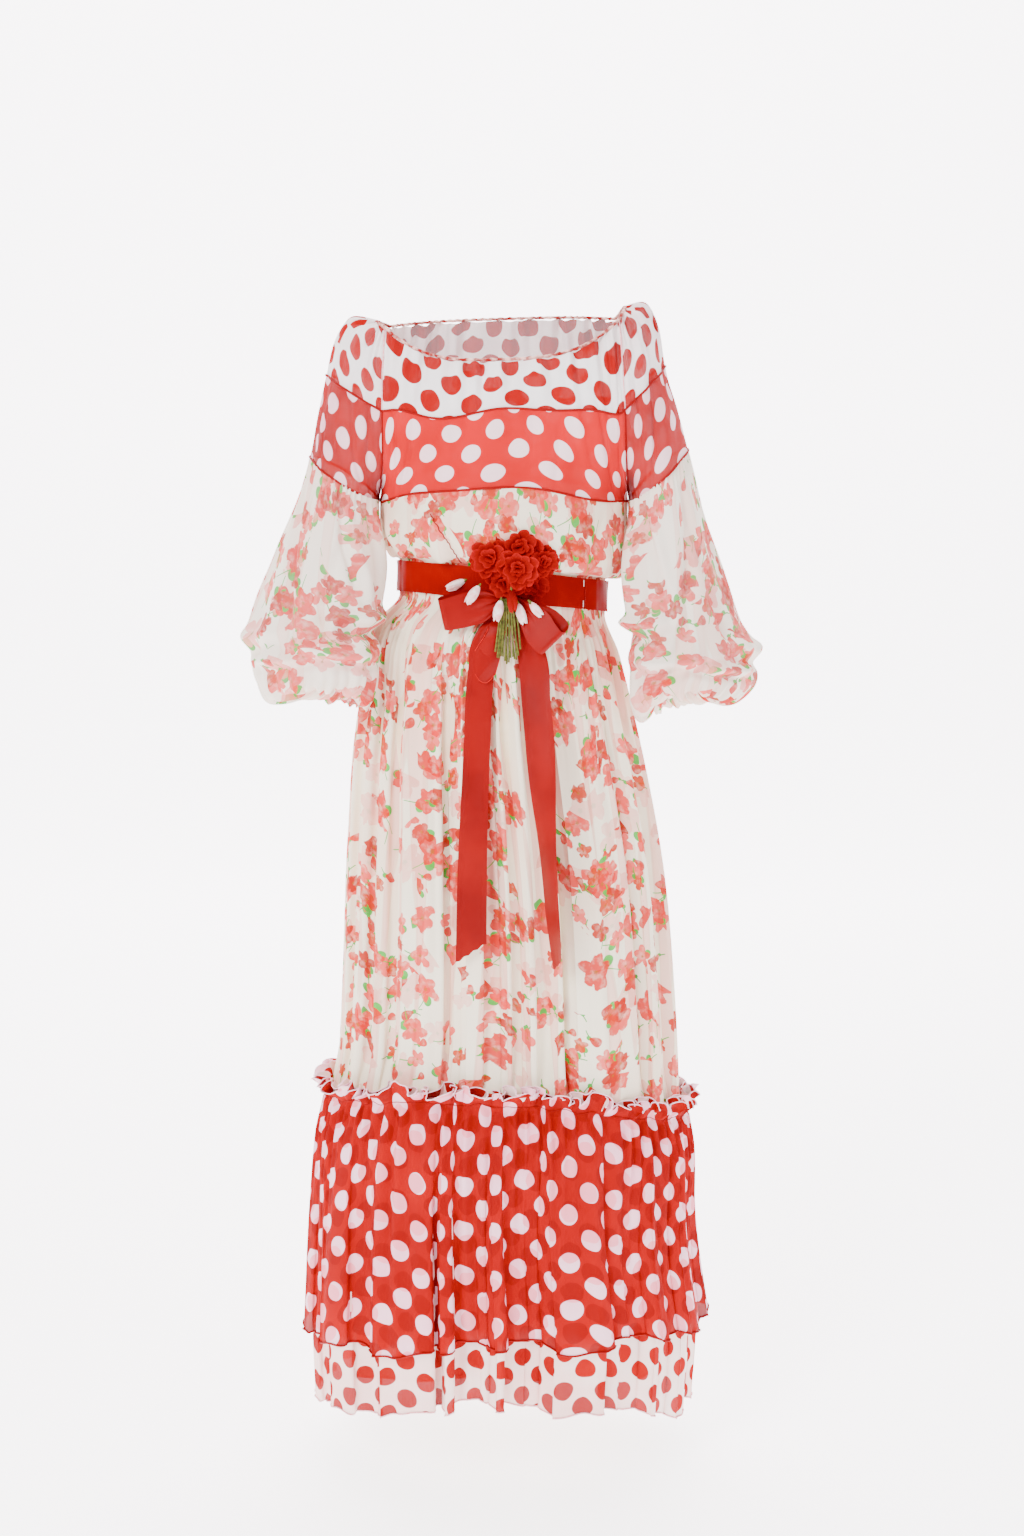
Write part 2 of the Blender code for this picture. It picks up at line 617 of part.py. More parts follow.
def balloon_sleeves():
    """Each lower sleeve is a closed tube that turns in and up at its foot, to the cuff's casing."""
    turns = np.linspace(-1, 1, SLEEVE_COLUMNS + 1)[:-1]
    stations = table(BALLOON_ROWS, GATHER_NAMES, "station")
    depths = table(BALLOON_ROWS, GATHER_NAMES, "gather")
    wave = np.cos(2 * np.pi * np.arange(SLEEVE_COLUMNS) / COLUMNS_PER_FOLD)
    for name, cuff, arm in (
        ("balloon_sleeve_right", "cuff_right", RIGHT_ARM),
        ("balloon_sleeve_left", "cuff_left", LEFT_ARM),
    ):
        grid = sleeve_ring(arm, stations, turns)
        grid = grid + normals(grid, closed=True) * (depths[:, None] * wave[None, :])[:, :, None]
        wall(name, trimmed(grid, SEAM_GAP / 2 + TIER_GAP, SEAM_GAP / 2), "floral", closed=True)
        edge = sleeve_ring(arm, stations[-1:], turns)[0]
        top = edge + np.array([0.0, 0.0, CUFF_HEIGHT])
        foot = edge + np.array([0.0, 0.0, SEAM_GAP * 1.5])
        wall(cuff, np.stack([top, foot]), "floral", closed=True)


def skirt():
    """The gathered skirt: its front and back are two halves of one folded tube."""
    angle, wave = fold_angles(SKIRT_FOLDS, SKIRT_UNEVENNESS)
    rings = []
    for row in rows_of(SKIRT, SKIRT_NAMES):
        x, y = folded_ring(angle, wave, row)
        fall = row["fall"]
        z = waist_height(x, y) * (1 - fall) + level_height(SKIRT_SEAM, angle) * fall
        rings.append(np.stack([x, y, z], axis=1))
    tube = np.array(rings)
    count = tube.shape[1]
    half = count // 2
    seam = SEAM_GAP / 2
    columns = {"skirt_back": np.arange(half + 1), "skirt_front": np.arange(half, count + 1) % count}
    way = normals(tube, closed=True)
    for name, chosen in columns.items():
        wall(name, trimmed(tube[:, chosen], seam, 0.0, seam, seam), "floral", way=way[:, chosen])


def hanging_tube(name, rows, hem):
    """A flounce with its heading: rings by their drop from the seam, in step with its fellow's folds."""
    angle, wave = fold_angles(FLOUNCE_FOLDS, FLOUNCE_UNEVENNESS)
    seam = level_height(SKIRT_SEAM, angle)
    flounce_hem = level_height(FLOUNCE_HEM, angle)
    rings = []
    for row in rows_of(rows, FLOUNCE_NAMES):
        x, y = folded_ring(angle, wave, row)
        drop = row["drop"]
        if drop > FLOUNCE_DEPTH:
            z = level_height(hem, angle)
        elif drop > 0:
            z = seam + (flounce_hem - seam) * drop / FLOUNCE_DEPTH
        else:
            z = seam - drop
        rings.append(np.stack([x, y, z], axis=1))
    wall(name, np.array(rings), name, closed=True)


def slip():
    """The plain slip that shows through: a bodice part and a skirt part, met at the waist."""
    angle = np.arange(SLIP_COLUMNS) * 2 * np.pi / SLIP_COLUMNS
    wave = np.cos(SLIP_FOLDS * angle)
    rings = []
    rows = rows_of(SLIP, SLIP_NAMES)
    for row in rows:
        x, y = folded_ring(angle, wave, row)
        fall = (row["height"] - rows[0]["height"]) / (rows[-1]["height"] - rows[0]["height"])
        z = waist_height(x, y) * (1 - fall) + level_height(SLIP_HEM, angle) * fall
        rings.append(np.stack([x, y, z], axis=1))
    wall("slip_skirt", trimmed(np.array(rings), SEAM_GAP / 2), "slip", closed=True)
    waist = rings[0]
    bodice_rings = []
    for rise, wide, deep in SLIP_BODICE:
        moved = waist * np.array([wide, deep, 1.0])
        moved[:, 2] = waist_height(waist[:, 0], waist[:, 1]) + rise
        bodice_rings.append(moved)
    wall("slip_bodice", trimmed(np.array(bodice_rings), 0.0, SEAM_GAP / 2), "slip", closed=True)


def belt():
    """The ribbon belt: one turn round the waist, its end lapped over its start in front."""
    turn = 360.0 + BELT_OVERLAP
    start = BELT_END_AT - BELT_OVERLAP
    degrees = start + turn * np.arange(BELT_COLUMNS + 3) / (BELT_COLUMNS + 2)
    lapped = np.clip((degrees - (start + 360.0 - BELT_STEP_OVER)) / BELT_STEP_OVER, 0, 1)
    out = BELT_WALL / 2 + BELT_CLEARANCE + lapped * (BELT_WALL + BELT_CLEARANCE)
    angle = np.radians(degrees)
    x, y = oval(angle, WAIST_RIGHT + out, WAIST_LEFT + out, WAIST_DEPTH + out)
    z = waist_height(x, y)
    ring = np.stack([x, y, z], axis=1)
    up = np.array([0.0, 0.0, BELT_WIDTH / 2])
    wall("belt", np.stack([ring + up, ring - up]), "ribbon", thick=BELT_WALL, roughness=SATIN_ROUGHNESS)


def bow():
    """Two ribbon loops out of the knot. A loop goes out, turns round its tip and comes back."""
    for name, values in (("bow_loop_right", LOOP_RIGHT), ("bow_loop_left", LOOP_LEFT)):
        loop = dict(zip(LOOP_NAMES, values))
        root = np.array([loop["root_x"], loop["root_z"]])
        way = np.array([loop["tip_x"], loop["tip_z"]]) - root
        half_open = loop["half_open"]
        length = np.linalg.norm(way) - half_open
        along = way / np.linalg.norm(way)
        across = np.array([-along[1], along[0]])
        steps = np.linspace(0, 1, LOOP_STEPS)
        tip_turn = np.linspace(-np.pi / 2, np.pi / 2, LOOP_STEPS)[1:-1]
        out = np.concatenate([steps * length, length + half_open * np.cos(tip_turn), steps[::-1] * length])
        side = loop["root_spread"] + (half_open - loop["root_spread"]) * steps
        spread = np.concatenate([-side, half_open * np.sin(tip_turn), side[::-1]])
        opened = np.clip(out / (loop["pinch_length"] * length), 0, 1)
        half_width = RIBBON_HALF_WIDTH * (LOOP_PINCH + (1 - LOOP_PINCH) * opened)
        y = KNOT_Y + spread - loop["forward"] * out / length
        rows = []
        for share in (1.0, 0.0, -1.0):
            centre = root + out[:, None] * along + (share * half_width)[:, None] * across
            rows.append(np.stack([centre[:, 0], y, centre[:, 1]], axis=1))
        wall(name, np.array(rows), "ribbon", roughness=SATIN_ROUGHNESS)


def knot():
    """The knot: a short band of ribbon wrapped round the roots of the loops."""
    angle = np.arange(KNOT_SIDES) * 2 * np.pi / KNOT_SIDES
    rows = []
    for share in (-1.0, -0.5, 0.5, 1.0):
        swell = 1.0 - KNOT_TAPER * share * share
        y = KNOT_Y + KNOT_HALF_DEPTH * swell * np.cos(angle)
        z = KNOT_Z + KNOT_HALF_HEIGHT * swell * np.sin(angle)
        x = np.full_like(y, KNOT_X + share * KNOT_HALF_WIDTH)
        rows.append(np.stack([x, y, z], axis=1))
    wall("bow_knot", np.array(rows), "ribbon", closed=True, roughness=SATIN_ROUGHNESS)


def skirt_front(height):
    """How far the skirt's outside reaches forward at a height in front of the middle."""
    falls = table(SKIRT, SKIRT_NAMES, "fall")
    depths = table(SKIRT, SKIRT_NAMES, "half_depth")
    top = waist_height(0.0, -WAIST_DEPTH)
    foot = SKIRT_SEAM[0] + SKIRT_SEAM[2]
    return np.interp((height - top) / (foot - top), falls, depths)


def tails():
    """The ribbon's hanging ends: from under the knot and down the skirt, turned partly edgeways."""
    share_down = np.linspace(0, 1, TAIL_ROWS)
    for name, rows in (("bow_tail_right", RIGHT_TAIL), ("bow_tail_left", LEFT_TAIL)):
        known = table(rows, TAIL_NAMES, "height")
        heights = known[0] + (known[-1] - known[0]) * share_down ** 2

        def column(wanted):
            return smooth(-heights, -known, table(rows, TAIL_NAMES, wanted))

        middle_x = column("middle_x")
        turn = np.radians(column("turn"))
        half_width = RIBBON_HALF_WIDTH * column("width")
        middle_y = -(skirt_front(heights) + TAIL_CLEARANCE + half_width * np.abs(np.sin(turn)))
        middle_y[0] = KNOT_Y + TAIL_TOP_BEHIND_KNOT
        grid = []
        for share in (-1.0, 0.0, 1.0):
            x = middle_x + share * half_width * np.cos(turn)
            y = middle_y + share * half_width * np.sin(turn)
            slant = share * TAIL_END_SLANT * share_down ** 6
            grid.append(np.stack([x, y, heights + slant], axis=1))
        wall(name, np.transpose(np.array(grid), (1, 0, 2)), "ribbon", roughness=SATIN_ROUGHNESS)


def capped(name, grid, colour, roughness=CLOTH_ROUGHNESS):
    """A closed form of revolution-like rings, with a point at each end."""
    rings, sides = grid.shape[0] - 2, grid.shape[1]
    points = [grid[0, 0]] + list(grid[1:-1].reshape(-1, 3)) + [grid[-1, 0]]
    last = len(points) - 1
    faces = []
    for side in range(sides):
        after = (side + 1) % sides
        faces.append((0, 1 + side, 1 + after))
        for ring in range(rings - 1):
            a = 1 + ring * sides
            b = a + sides
            faces.append((a + side, b + side, b + after, a + after))
        a = 1 + (rings - 1) * sides
        faces.append((last, a + after, a + side))
    add_solid(name, points, faces, colour, roughness)


def blooms():
    """Each bloom is a shallow dome of five petals, its back against what lies behind it."""
    angle = np.arange(4 * PETALS) * 2 * np.pi / (4 * PETALS)
    petal = 1 - PETAL_NOTCH + PETAL_NOTCH * np.cos(PETALS * angle)
    for i, row in enumerate(rows_of(BLOOMS, BLOOM_NAMES)):
        rings = []
        for out, forward in BLOOM_SHAPE:
            radius = row["radius"] * out * petal
            x = row["x"] + radius * np.cos(angle)
            z = row["z"] + radius * np.sin(angle)
            y = np.full_like(x, row["back_y"] - forward * BLOOM_DEPTH)
            rings.append(np.stack([x, y, z], axis=1))
        capped(f"posy_bloom_{i + 1}", np.array(rings), "bloom")


def buds():
    """Each bud is a small spindle, widest past its middle."""
    angle = np.arange(BUD_SIDES) * 2 * np.pi / BUD_SIDES
    for i, row in enumerate(rows_of(BUDS, BUD_NAMES)):
        slant = np.radians(row["slant"])
        along = np.array([-np.sin(slant), 0.0, -np.cos(slant)])
        across = np.array([np.cos(slant), 0.0, -np.sin(slant)])
        forward = np.array([0.0, -1.0, 0.0])
        centre = np.array([row["x"], row["y"], row["z"]])
        rings = []
        for way, wide in BUD_SHAPE:
            radius = wide * row["length"] * BUD_HALF_WIDTH
            middle = centre + along * (way - 0.5) * row["length"]
            ring = np.cos(angle)[:, None] * across + np.sin(angle)[:, None] * forward
            rings.append(middle + radius * ring)
        capped(f"posy_bud_{i + 1}", np.array(rings), "bud")


def stems():
    """The tied stems: thin rods that fan out below the knot."""
    angle = np.arange(STEM_SIDES) * 2 * np.pi / STEM_SIDES
    top_y = KNOT_Y - KNOT_HALF_DEPTH - WALL / 2 - STEM_RADIUS
    for i in range(STEMS):
        share = 2 * i / (STEMS - 1) - 1
        top = np.array([KNOT_X + share * STEM_TOP_SPREAD, top_y, KNOT_Z])
        foot = np.array([
            KNOT_X + share * STEM_FOOT_SPREAD,
            top_y - STEM_LEAN,
            STEM_FOOT_Z + STEM_FOOT_RISE * share * share,
        ])
        way = (foot - top) / np.linalg.norm(foot - top)
        across = np.cross(way, np.array([0.0, 1.0, 0.0]))
        across /= np.linalg.norm(across)
        out = np.cross(way, across)
        ring = STEM_RADIUS * (np.cos(angle)[:, None] * across + np.sin(angle)[:, None] * out)
        ends = np.ones((STEM_SIDES, 1))
        rings = [top * ends, top + ring, foot + ring, foot * ends]
        capped(f"posy_stem_{i + 1}", np.array(rings), "stem")


def main():
    clear_scene()
    neck_binding()
    upper_tier("yoke", YOKE_ROWS, SEAM_GAP)
    upper_tier("band", BAND_ROWS, SEAM_GAP / 2 + TIER_GAP)
    bodice()
    balloon_sleeves()
    skirt()
    hanging_tube("flounce", FLOUNCE, FLOUNCE_HEM)
    hanging_tube("under_flounce", UNDER, UNDER_HEM)
    slip()
    belt()
    bow()
    knot()
    tails()
    blooms()
    buds()
    stems()


main()
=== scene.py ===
"""The look of a worn peasant maxi dress in sheer printed cloth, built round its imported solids.

Every cloth piece is one thin sheet on a grid: rows run down the cloth, columns run round it. The
forms repeat the part's own tables and formulas at a higher resolution, then add folds, gathers and
creases. Metres, +Z up, the front faces -Y, the wearer's left arm is at +X.
"""

import bpy
import numpy as np
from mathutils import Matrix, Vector


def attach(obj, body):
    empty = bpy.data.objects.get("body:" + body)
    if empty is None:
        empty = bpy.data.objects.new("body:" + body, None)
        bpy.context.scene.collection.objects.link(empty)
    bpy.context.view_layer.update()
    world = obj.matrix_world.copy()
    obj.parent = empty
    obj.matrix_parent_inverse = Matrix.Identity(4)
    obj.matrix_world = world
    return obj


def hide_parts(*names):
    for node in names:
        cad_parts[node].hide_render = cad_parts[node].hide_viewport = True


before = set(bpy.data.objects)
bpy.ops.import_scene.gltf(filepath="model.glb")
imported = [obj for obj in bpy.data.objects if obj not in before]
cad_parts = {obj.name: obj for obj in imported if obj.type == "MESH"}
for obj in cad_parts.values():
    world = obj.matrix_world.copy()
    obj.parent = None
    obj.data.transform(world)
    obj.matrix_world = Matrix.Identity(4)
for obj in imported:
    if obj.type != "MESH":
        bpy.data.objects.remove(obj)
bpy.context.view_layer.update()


def columns(names, rows):
    """A table as one array for each named column."""
    return dict(zip(names.split(), np.array(rows, float).T))


# ---------------------------------------------------------------- sizes shared with the part
WAIST_Z, WAIST_FALL_X, WAIST_FALL_Y = -0.311, -0.10, -0.13
WAIST_RIGHT, WAIST_LEFT, WAIST_DEPTH = 0.1295, 0.1275, 0.0955
BELT_WIDTH = 0.038
RIBBON_HALF_WIDTH = 0.019

# Levels of seams and hems: mean height, tilt to the left, rise at the front.
SKIRT_SEAM = (-0.985, -0.014, 0.046)
FLOUNCE_HEM = (-1.296, 0.006, 0.0355)
UNDER_HEM = (-1.409, -0.005, 0.059)
SLIP_HEM = (-1.362, 0.0, 0.045)

# Both shoulders and sleeves by station: the outer point and the seam of the right one, of the left
# one, and what they share.
SLEEVES = columns("station outer_x-1 outer_z-1 seam_x-1 seam_z-1 outer_x1 outer_z1 seam_x1 seam_z1"
                  " angle half_depth forward skew", (
    (0.00, 0.156, 0.010, 0.141, 0.003, 0.150, 0.027, 0.139, 0.012, 60, 0.058, 0.000, 0.00),
    (0.35, 0.181, 0.015, 0.142, -0.028, 0.169, 0.032, 0.141, -0.020, 70, 0.072, 0.000, 0.00),
    (0.70, 0.203, -0.012, 0.143, -0.062, 0.187, 0.004, 0.143, -0.058, 82, 0.082, 0.000, 0.00),
    (1.00, 0.214, -0.052, 0.143, -0.092, 0.196, -0.042, 0.145, -0.090, 95, 0.086, 0.000, 0.00),
    (1.50, 0.226, -0.102, 0.144, -0.155, 0.212, -0.092, 0.148, -0.155, 130, 0.085, 0.000, 0.00),
    (2.00, 0.236, -0.151, 0.152, -0.203, 0.226, -0.141, 0.154, -0.205, 180, 0.080, 0.002, 0.00),
    (2.50, 0.253, -0.203, 0.157, -0.248, 0.241, -0.200, 0.160, -0.252, 180, 0.086, 0.012, 0.05),
    (3.00, 0.277, -0.262, 0.159, -0.298, 0.262, -0.268, 0.162, -0.303, 180, 0.090, 0.026, 0.14),
    (3.50, 0.298, -0.325, 0.157, -0.346, 0.288, -0.342, 0.160, -0.350, 180, 0.091, 0.042, 0.24),
    (4.00, 0.308, -0.377, 0.156, -0.393, 0.308, -0.392, 0.158, -0.400, 180, 0.088, 0.058, 0.33),
    (4.50, 0.299, -0.422, 0.159, -0.436, 0.301, -0.430, 0.158, -0.446, 180, 0.078, 0.070, 0.35),
    (4.80, 0.282, -0.444, 0.166, -0.455, 0.276, -0.446, 0.167, -0.466, 180, 0.062, 0.076, 0.25),
    (5.00, 0.254, -0.438, 0.170, -0.444, 0.258, -0.440, 0.176, -0.452, 180, 0.044, 0.080, 0.10),
    (5.20, 0.243, -0.424, 0.172, -0.427, 0.250, -0.426, 0.180, -0.433, 180, 0.037, 0.080, 0.00),
))
UNDERARM_CLEARANCE = 0.0024
BODY = columns("station front_y front_z back_y back_z square dip", (
    (0.0, -0.100, -0.034, 0.085, 0.012, 72, 3.2),
    (1.0, -0.113, -0.090, 0.106, -0.075, 80, 3.0),
    (2.0, -0.120, -0.183, 0.112, -0.185, 90, 2.4),
))
BODICE = columns("fall right_x left_x front_y back_y", (
    (0.0, 0.1510, 0.1530, -0.120, 0.112),
    (0.4, 0.1525, 0.1540, -0.126, 0.118),
    (0.8, 0.1490, 0.1540, -0.124, 0.118),
    (1.0, 0.1400, 0.1460, -0.113, 0.108),
))
SKIRT = columns("fall right_x left_x half_depth", (
    (0.000, 0.1295, 0.1275, 0.0955),
    (0.032, 0.1295, 0.1275, 0.0955),
    (0.090, 0.1600, 0.1400, 0.1080),
    (0.250, 0.1900, 0.1680, 0.1240),
    (0.500, 0.2070, 0.2030, 0.1380),
    (0.760, 0.2160, 0.2220, 0.1450),
    (1.000, 0.2260, 0.2330, 0.1490),
))
FLOUNCE = columns("drop right_x left_x half_depth", (
    (-0.020, 0.2385, 0.2455, 0.1610),
    (0.000, 0.2335, 0.2405, 0.1560),
    (0.050, 0.2440, 0.2500, 0.1620),
    (0.150, 0.2560, 0.2580, 0.1690),
    (0.310, 0.2680, 0.2810, 0.1790),
))
UNDER = columns("drop right_x left_x half_depth", (
    (-0.024, 0.2368, 0.2438, 0.1593),
    (0.000, 0.2304, 0.2374, 0.1529),
    (0.050, 0.2400, 0.2460, 0.1580),
    (0.150, 0.2505, 0.2530, 0.1635),
    (0.310, 0.2600, 0.2700, 0.1710),
    (0.424, 0.2580, 0.2650, 0.1700),
))
SLIP = columns("height right_x left_x half_depth fold", (
    (-0.311, 0.1270, 0.1250, 0.0930, 0.0000),
    (-0.345, 0.1275, 0.1255, 0.0935, 0.0000),
    (-0.460, 0.1700, 0.1480, 0.1110, 0.0020),
    (-0.640, 0.1860, 0.1800, 0.1180, 0.0040),
    (-0.960, 0.2060, 0.2120, 0.1330, 0.0040),
    (-1.362, 0.2200, 0.2240, 0.1450, 0.0060),
))
SLIP_BODICE = ((0.100, 1.07, 1.15), (0.045, 1.06, 1.10), (0.024, 1.0, 1.0), (0.0, 1.0, 1.0))
SLIP_FOLDS = 9

KNOT_X, KNOT_Z = 0.006, -0.316
KNOT_HALF_WIDTH, KNOT_HALF_HEIGHT, KNOT_HALF_DEPTH = 0.009, 0.0145, 0.0085
KNOT_Y = -(WAIST_DEPTH + 0.0005 + 0.001 + 0.0003 + 0.0005 + KNOT_HALF_DEPTH)
TAILS = {
    "right": columns("height middle_x turn width", (
        (-0.3297, 0.0010, 0, 0.29),
        (-0.3360, -0.0060, 0, 0.50),
        (-0.3560, -0.0190, 2, 0.75),
        (-0.4000, -0.0260, 8, 0.84),
        (-0.4840, -0.0310, 10, 0.85),
        (-0.6000, -0.0360, 8, 0.92),
        (-0.7420, -0.0390, 4, 1.00),
    )),
    "left": columns("height middle_x turn width", (
        (-0.3297, 0.0115, 0, 0.24),
        (-0.3360, 0.0150, 0, 0.42),
        (-0.3560, 0.0265, 0, 0.72),
        (-0.4460, 0.0410, -14, 0.95),
        (-0.5690, 0.0500, -45, 1.00),
        (-0.6600, 0.0570, -64, 1.00),
        (-0.7520, 0.0670, -76, 1.00),
    )),
}
# The bow's loops: root (x, z), its spread, tip (x, z), half opening, how far forward, length of the
# pinch, and how the ribbon turns in the look.
LOOPS = {
    "right": ((-0.0015, -0.3155), 0.0043, (-0.074, -0.331), 0.0060, 0.0060, 0.4, 0.25),
    "left": ((0.0150, -0.3130), 0.0032, (0.064, -0.362), 0.0045, 0.0160, 0.7, -0.95),
}
# Blooms: x, z, radius, y of the back; the last value, how wide the petals open, is the look's own.
BLOOMS = (
    (-0.0140, -0.2620, 0.0163, -0.1224, 1.55),
    (0.0190, -0.2500, 0.0163, -0.1235, 1.55),
    (0.0480, -0.2665, 0.0143, -0.1210, 1.35),
    (0.0030, -0.2925, 0.0150, -0.1111, 1.50),
    (0.0338, -0.2950, 0.0148, -0.0950, 1.50),
    (0.0175, -0.2730, 0.0125, -0.1312, 1.85),
)
# Buds: x, z, y, slant in degrees, length.
WHITE_BUDS = (
    (-0.0550, -0.2970, -0.0927, 65, 0.020),
    (-0.0345, -0.3050, -0.1191, 35, 0.021),
    (-0.0045, -0.3235, -0.1225, 12, 0.021),
    (0.0215, -0.3275, -0.1198, -18, 0.021),
    (0.0385, -0.3225, -0.1213, -40, 0.018),
)

# ---------------------------------------------------------------- sizes of the look alone
RED_BUD = (0.0110, -0.3110, -0.1275, -4, 0.022)
CUP_RADII = np.array([0.0008, 0.0010, 0.0015, 0.0022, 0.0027, 0.0030, 0.0030, 0.0028])
RING_COLUMNS, SLEEVE_COLUMNS, PANEL_COLUMNS = 1100, 220, 200
SHEET_INSET = 0.0005  # half the cloth's thickness: a sheet lies in the middle of its solid
HEADING, HEADING_ROWS = 0.0215, 10
CUFF_DEPTH = 0.0095
DEGREES = 90.0 + 360.0 * np.arange(RING_COLUMNS + 1) / RING_COLUMNS
TURN = np.radians(DEGREES)
ACROSS = np.linspace(-1, 1, PANEL_COLUMNS + 1)
FLAT = np.array([1.0, 1.0, 0.0])

# The pleat edges of the skirts, anticlockwise from the centre back (90 degrees): where each lies, how
# far the cloth steps out there, how wide the step is and how far it laps over, in degrees.
SKIRT_EDGES = (
    (196.0, -0.006, 3.0, 0.7), (204.5, 0.007, 2.2, -0.6), (211.8, -0.007, 2.4, 0.7),
    (216.5, 0.005, 2.0, -0.4), (223.1, -0.006, 2.2, 0.8), (227.0, 0.004, 2.2, -0.3),
    (231.5, 0.004, 2.4, -0.7), (248.2, -0.009, 2.2, 1.0), (250.6, 0.004, 1.8, -0.5),
    (256.0, 0.005, 2.0, -0.8), (262.5, -0.006, 2.2, 0.8), (269.5, 0.006, 1.8, -0.8),
    (271.8, -0.007, 1.8, 0.8), (276.8, 0.008, 2.0, -0.9), (279.6, -0.007, 2.0, 0.9),
    (286.2, 0.004, 2.0, -0.5), (289.3, -0.008, 2.2, 0.9), (292.6, 0.011, 2.2, -1.0),
    (300.6, 0.001, 3.2, -0.3), (318.0, -0.008, 2.6, 0.9), (324.4, 0.007, 2.4, -0.8),
    (333.0, -0.006, 3.0, 0.7), (341.0, 0.006, 2.6, -0.5), (349.0, -0.004, 3.0, 0.5),
)
FLOUNCE_EDGES = (
    (193.0, -0.010, 3.4, 0.9), (203.0, 0.010, 3.0, -0.8), (218.8, -0.012, 2.6, 1.1),
    (229.2, 0.013, 2.2, -1.3), (249.0, -0.017, 1.6, 0.9), (250.9, 0.021, 1.6, -0.9),
    (254.6, -0.026, 1.8, 1.2), (262.3, 0.005, 2.0, -0.4), (265.6, 0.019, 1.6, -1.0),
    (269.3, -0.022, 1.6, 1.1), (276.0, -0.003, 2.2, 0.5), (281.6, 0.024, 2.2, -1.5),
    (300.0, -0.015, 2.4, 1.2), (307.5, -0.004, 2.2, 0.4), (316.4, 0.017, 2.2, -1.1),
    (321.6, -0.011, 2.2, 0.9), (331.5, 0.010, 2.6, -0.9), (343.0, -0.010, 3.2, 0.9),
    (353.0, 0.011, 3.0, -0.8),
)
# Creases on the fronts, in shares of the width (-1 to 1) and stations: at, station, lean, width,
# length, depth. Those of the sleeves go by turn (-1 to 1), those of the bodice by share of the fall.
FRONT_CREASES = (
    (-0.78, 1.30, 0.10, 0.030, 0.70, 0.0022), (-0.61, 1.45, -0.06, 0.022, 0.60, 0.0030),
    (-0.33, 1.20, 0.05, 0.028, 0.50, -0.0014), (0.16, 1.35, -0.06, 0.030, 0.55, 0.0022),
    (0.30, 1.55, -0.09, 0.024, 0.45, 0.0028), (0.47, 1.35, 0.05, 0.030, 0.50, -0.0016),
    (0.66, 1.30, 0.08, 0.024, 0.60, 0.0026), (0.84, 1.45, -0.05, 0.024, 0.60, 0.0022),
)
SLEEVE_CREASES = (
    (-0.86, 3.3, 0.10, 0.035, 0.8, 0.0040), (-0.62, 2.8, 0.16, 0.030, 0.7, 0.0036),
    (-0.45, 3.6, -0.12, 0.040, 0.9, 0.0050), (-0.24, 3.1, 0.10, 0.030, 0.9, 0.0034),
    (-0.05, 2.7, -0.07, 0.030, 0.8, 0.0028), (0.12, 3.7, 0.09, 0.036, 0.8, 0.0044),
    (0.33, 3.2, -0.14, 0.034, 1.0, 0.0046), (0.52, 3.9, 0.12, 0.036, 0.7, 0.0042),
    (0.68, 2.9, 0.10, 0.030, 0.7, 0.0034), (0.88, 3.5, -0.09, 0.034, 0.8, 0.0040),
)
BODICE_CREASES = (
    (-0.80, 0.55, 0.10, 0.028, 0.34, 0.0034), (-0.66, 0.72, -0.10, 0.022, 0.26, 0.0030),
    (-0.42, 0.45, 0.42, 0.016, 0.30, 0.0034), (-0.30, 0.80, 0.12, 0.022, 0.20, 0.0028),
    (-0.12, 0.78, -0.10, 0.022, 0.18, 0.0022), (0.22, 0.42, -0.34, 0.024, 0.26, 0.0026),
    (0.36, 0.74, 0.16, 0.024, 0.24, 0.0030), (0.52, 0.60, -0.14, 0.022, 0.30, 0.0032),
    (0.68, 0.78, 0.10, 0.020, 0.22, 0.0032), (0.84, 0.55, -0.08, 0.026, 0.34, 0.0034),
)
# Sagging swags near the sleeves' foot: turn, station, how they curve down to each side, width,
# length, depth.
SWAGS = (
    (-0.74, 3.50, 1.5, 0.09, 0.26, 0.0105), (-0.55, 4.10, 1.9, 0.10, 0.22, 0.0075),
    (-0.22, 4.25, 2.4, 0.09, 0.20, 0.0060), (0.05, 3.92, 2.0, 0.10, 0.26, 0.0060),
    (0.42, 4.15, 2.6, 0.09, 0.22, 0.0052), (0.80, 4.30, 1.8, 0.09, 0.20, 0.0050),
)


# ---------------------------------------------------------------- numbers
def smooth(at, known, values):
    """Values between a table's rows: the cubic curve through them with slopes from the rows beside."""
    at = np.asarray(at, float)
    values = np.asarray(values, float)
    more = (1,) * (values.ndim - 1)
    slopes = np.gradient(values, known, axis=0)
    steps = np.diff(values, axis=0) / np.diff(known).reshape(-1, *more)
    slopes[1:-1] = np.where(steps[1:] * steps[:-1] <= 0, 0.0, slopes[1:-1])
    i = np.clip(np.searchsorted(known, at, side="right") - 1, 0, len(known) - 2)
    width = (known[i + 1] - known[i]).reshape(-1, *more)
    s = np.clip((at - known[i]) / (known[i + 1] - known[i]), 0, 1).reshape(-1, *more)
    return (
        values[i] * (1 + 2 * s) * (1 - s) ** 2
        + slopes[i] * width * s * (1 - s) ** 2
        + values[i + 1] * s * s * (3 - 2 * s)
        + slopes[i + 1] * width * s * s * (s - 1)
    )


def between(rows, at):
    """A table's other columns, each as an upright array, at these values of its first column."""
    first = next(iter(rows))
    way = np.sign(rows[first][-1] - rows[first][0])
    known, at = way * rows[first], way * np.asarray(at, float)
    return {name: smooth(at, known, rows[name])[:, None] for name in rows if name != first}


def ramp(x, low, high):
    """0 below low, 1 above high, smooth between."""
    t = np.clip((x - low) / (high - low), 0, 1)
    return t * t * (3 - 2 * t)


def bump(x, middle, width):
    """A bell curve of height 1."""
    return np.exp(-(((x - middle) / width) ** 2))


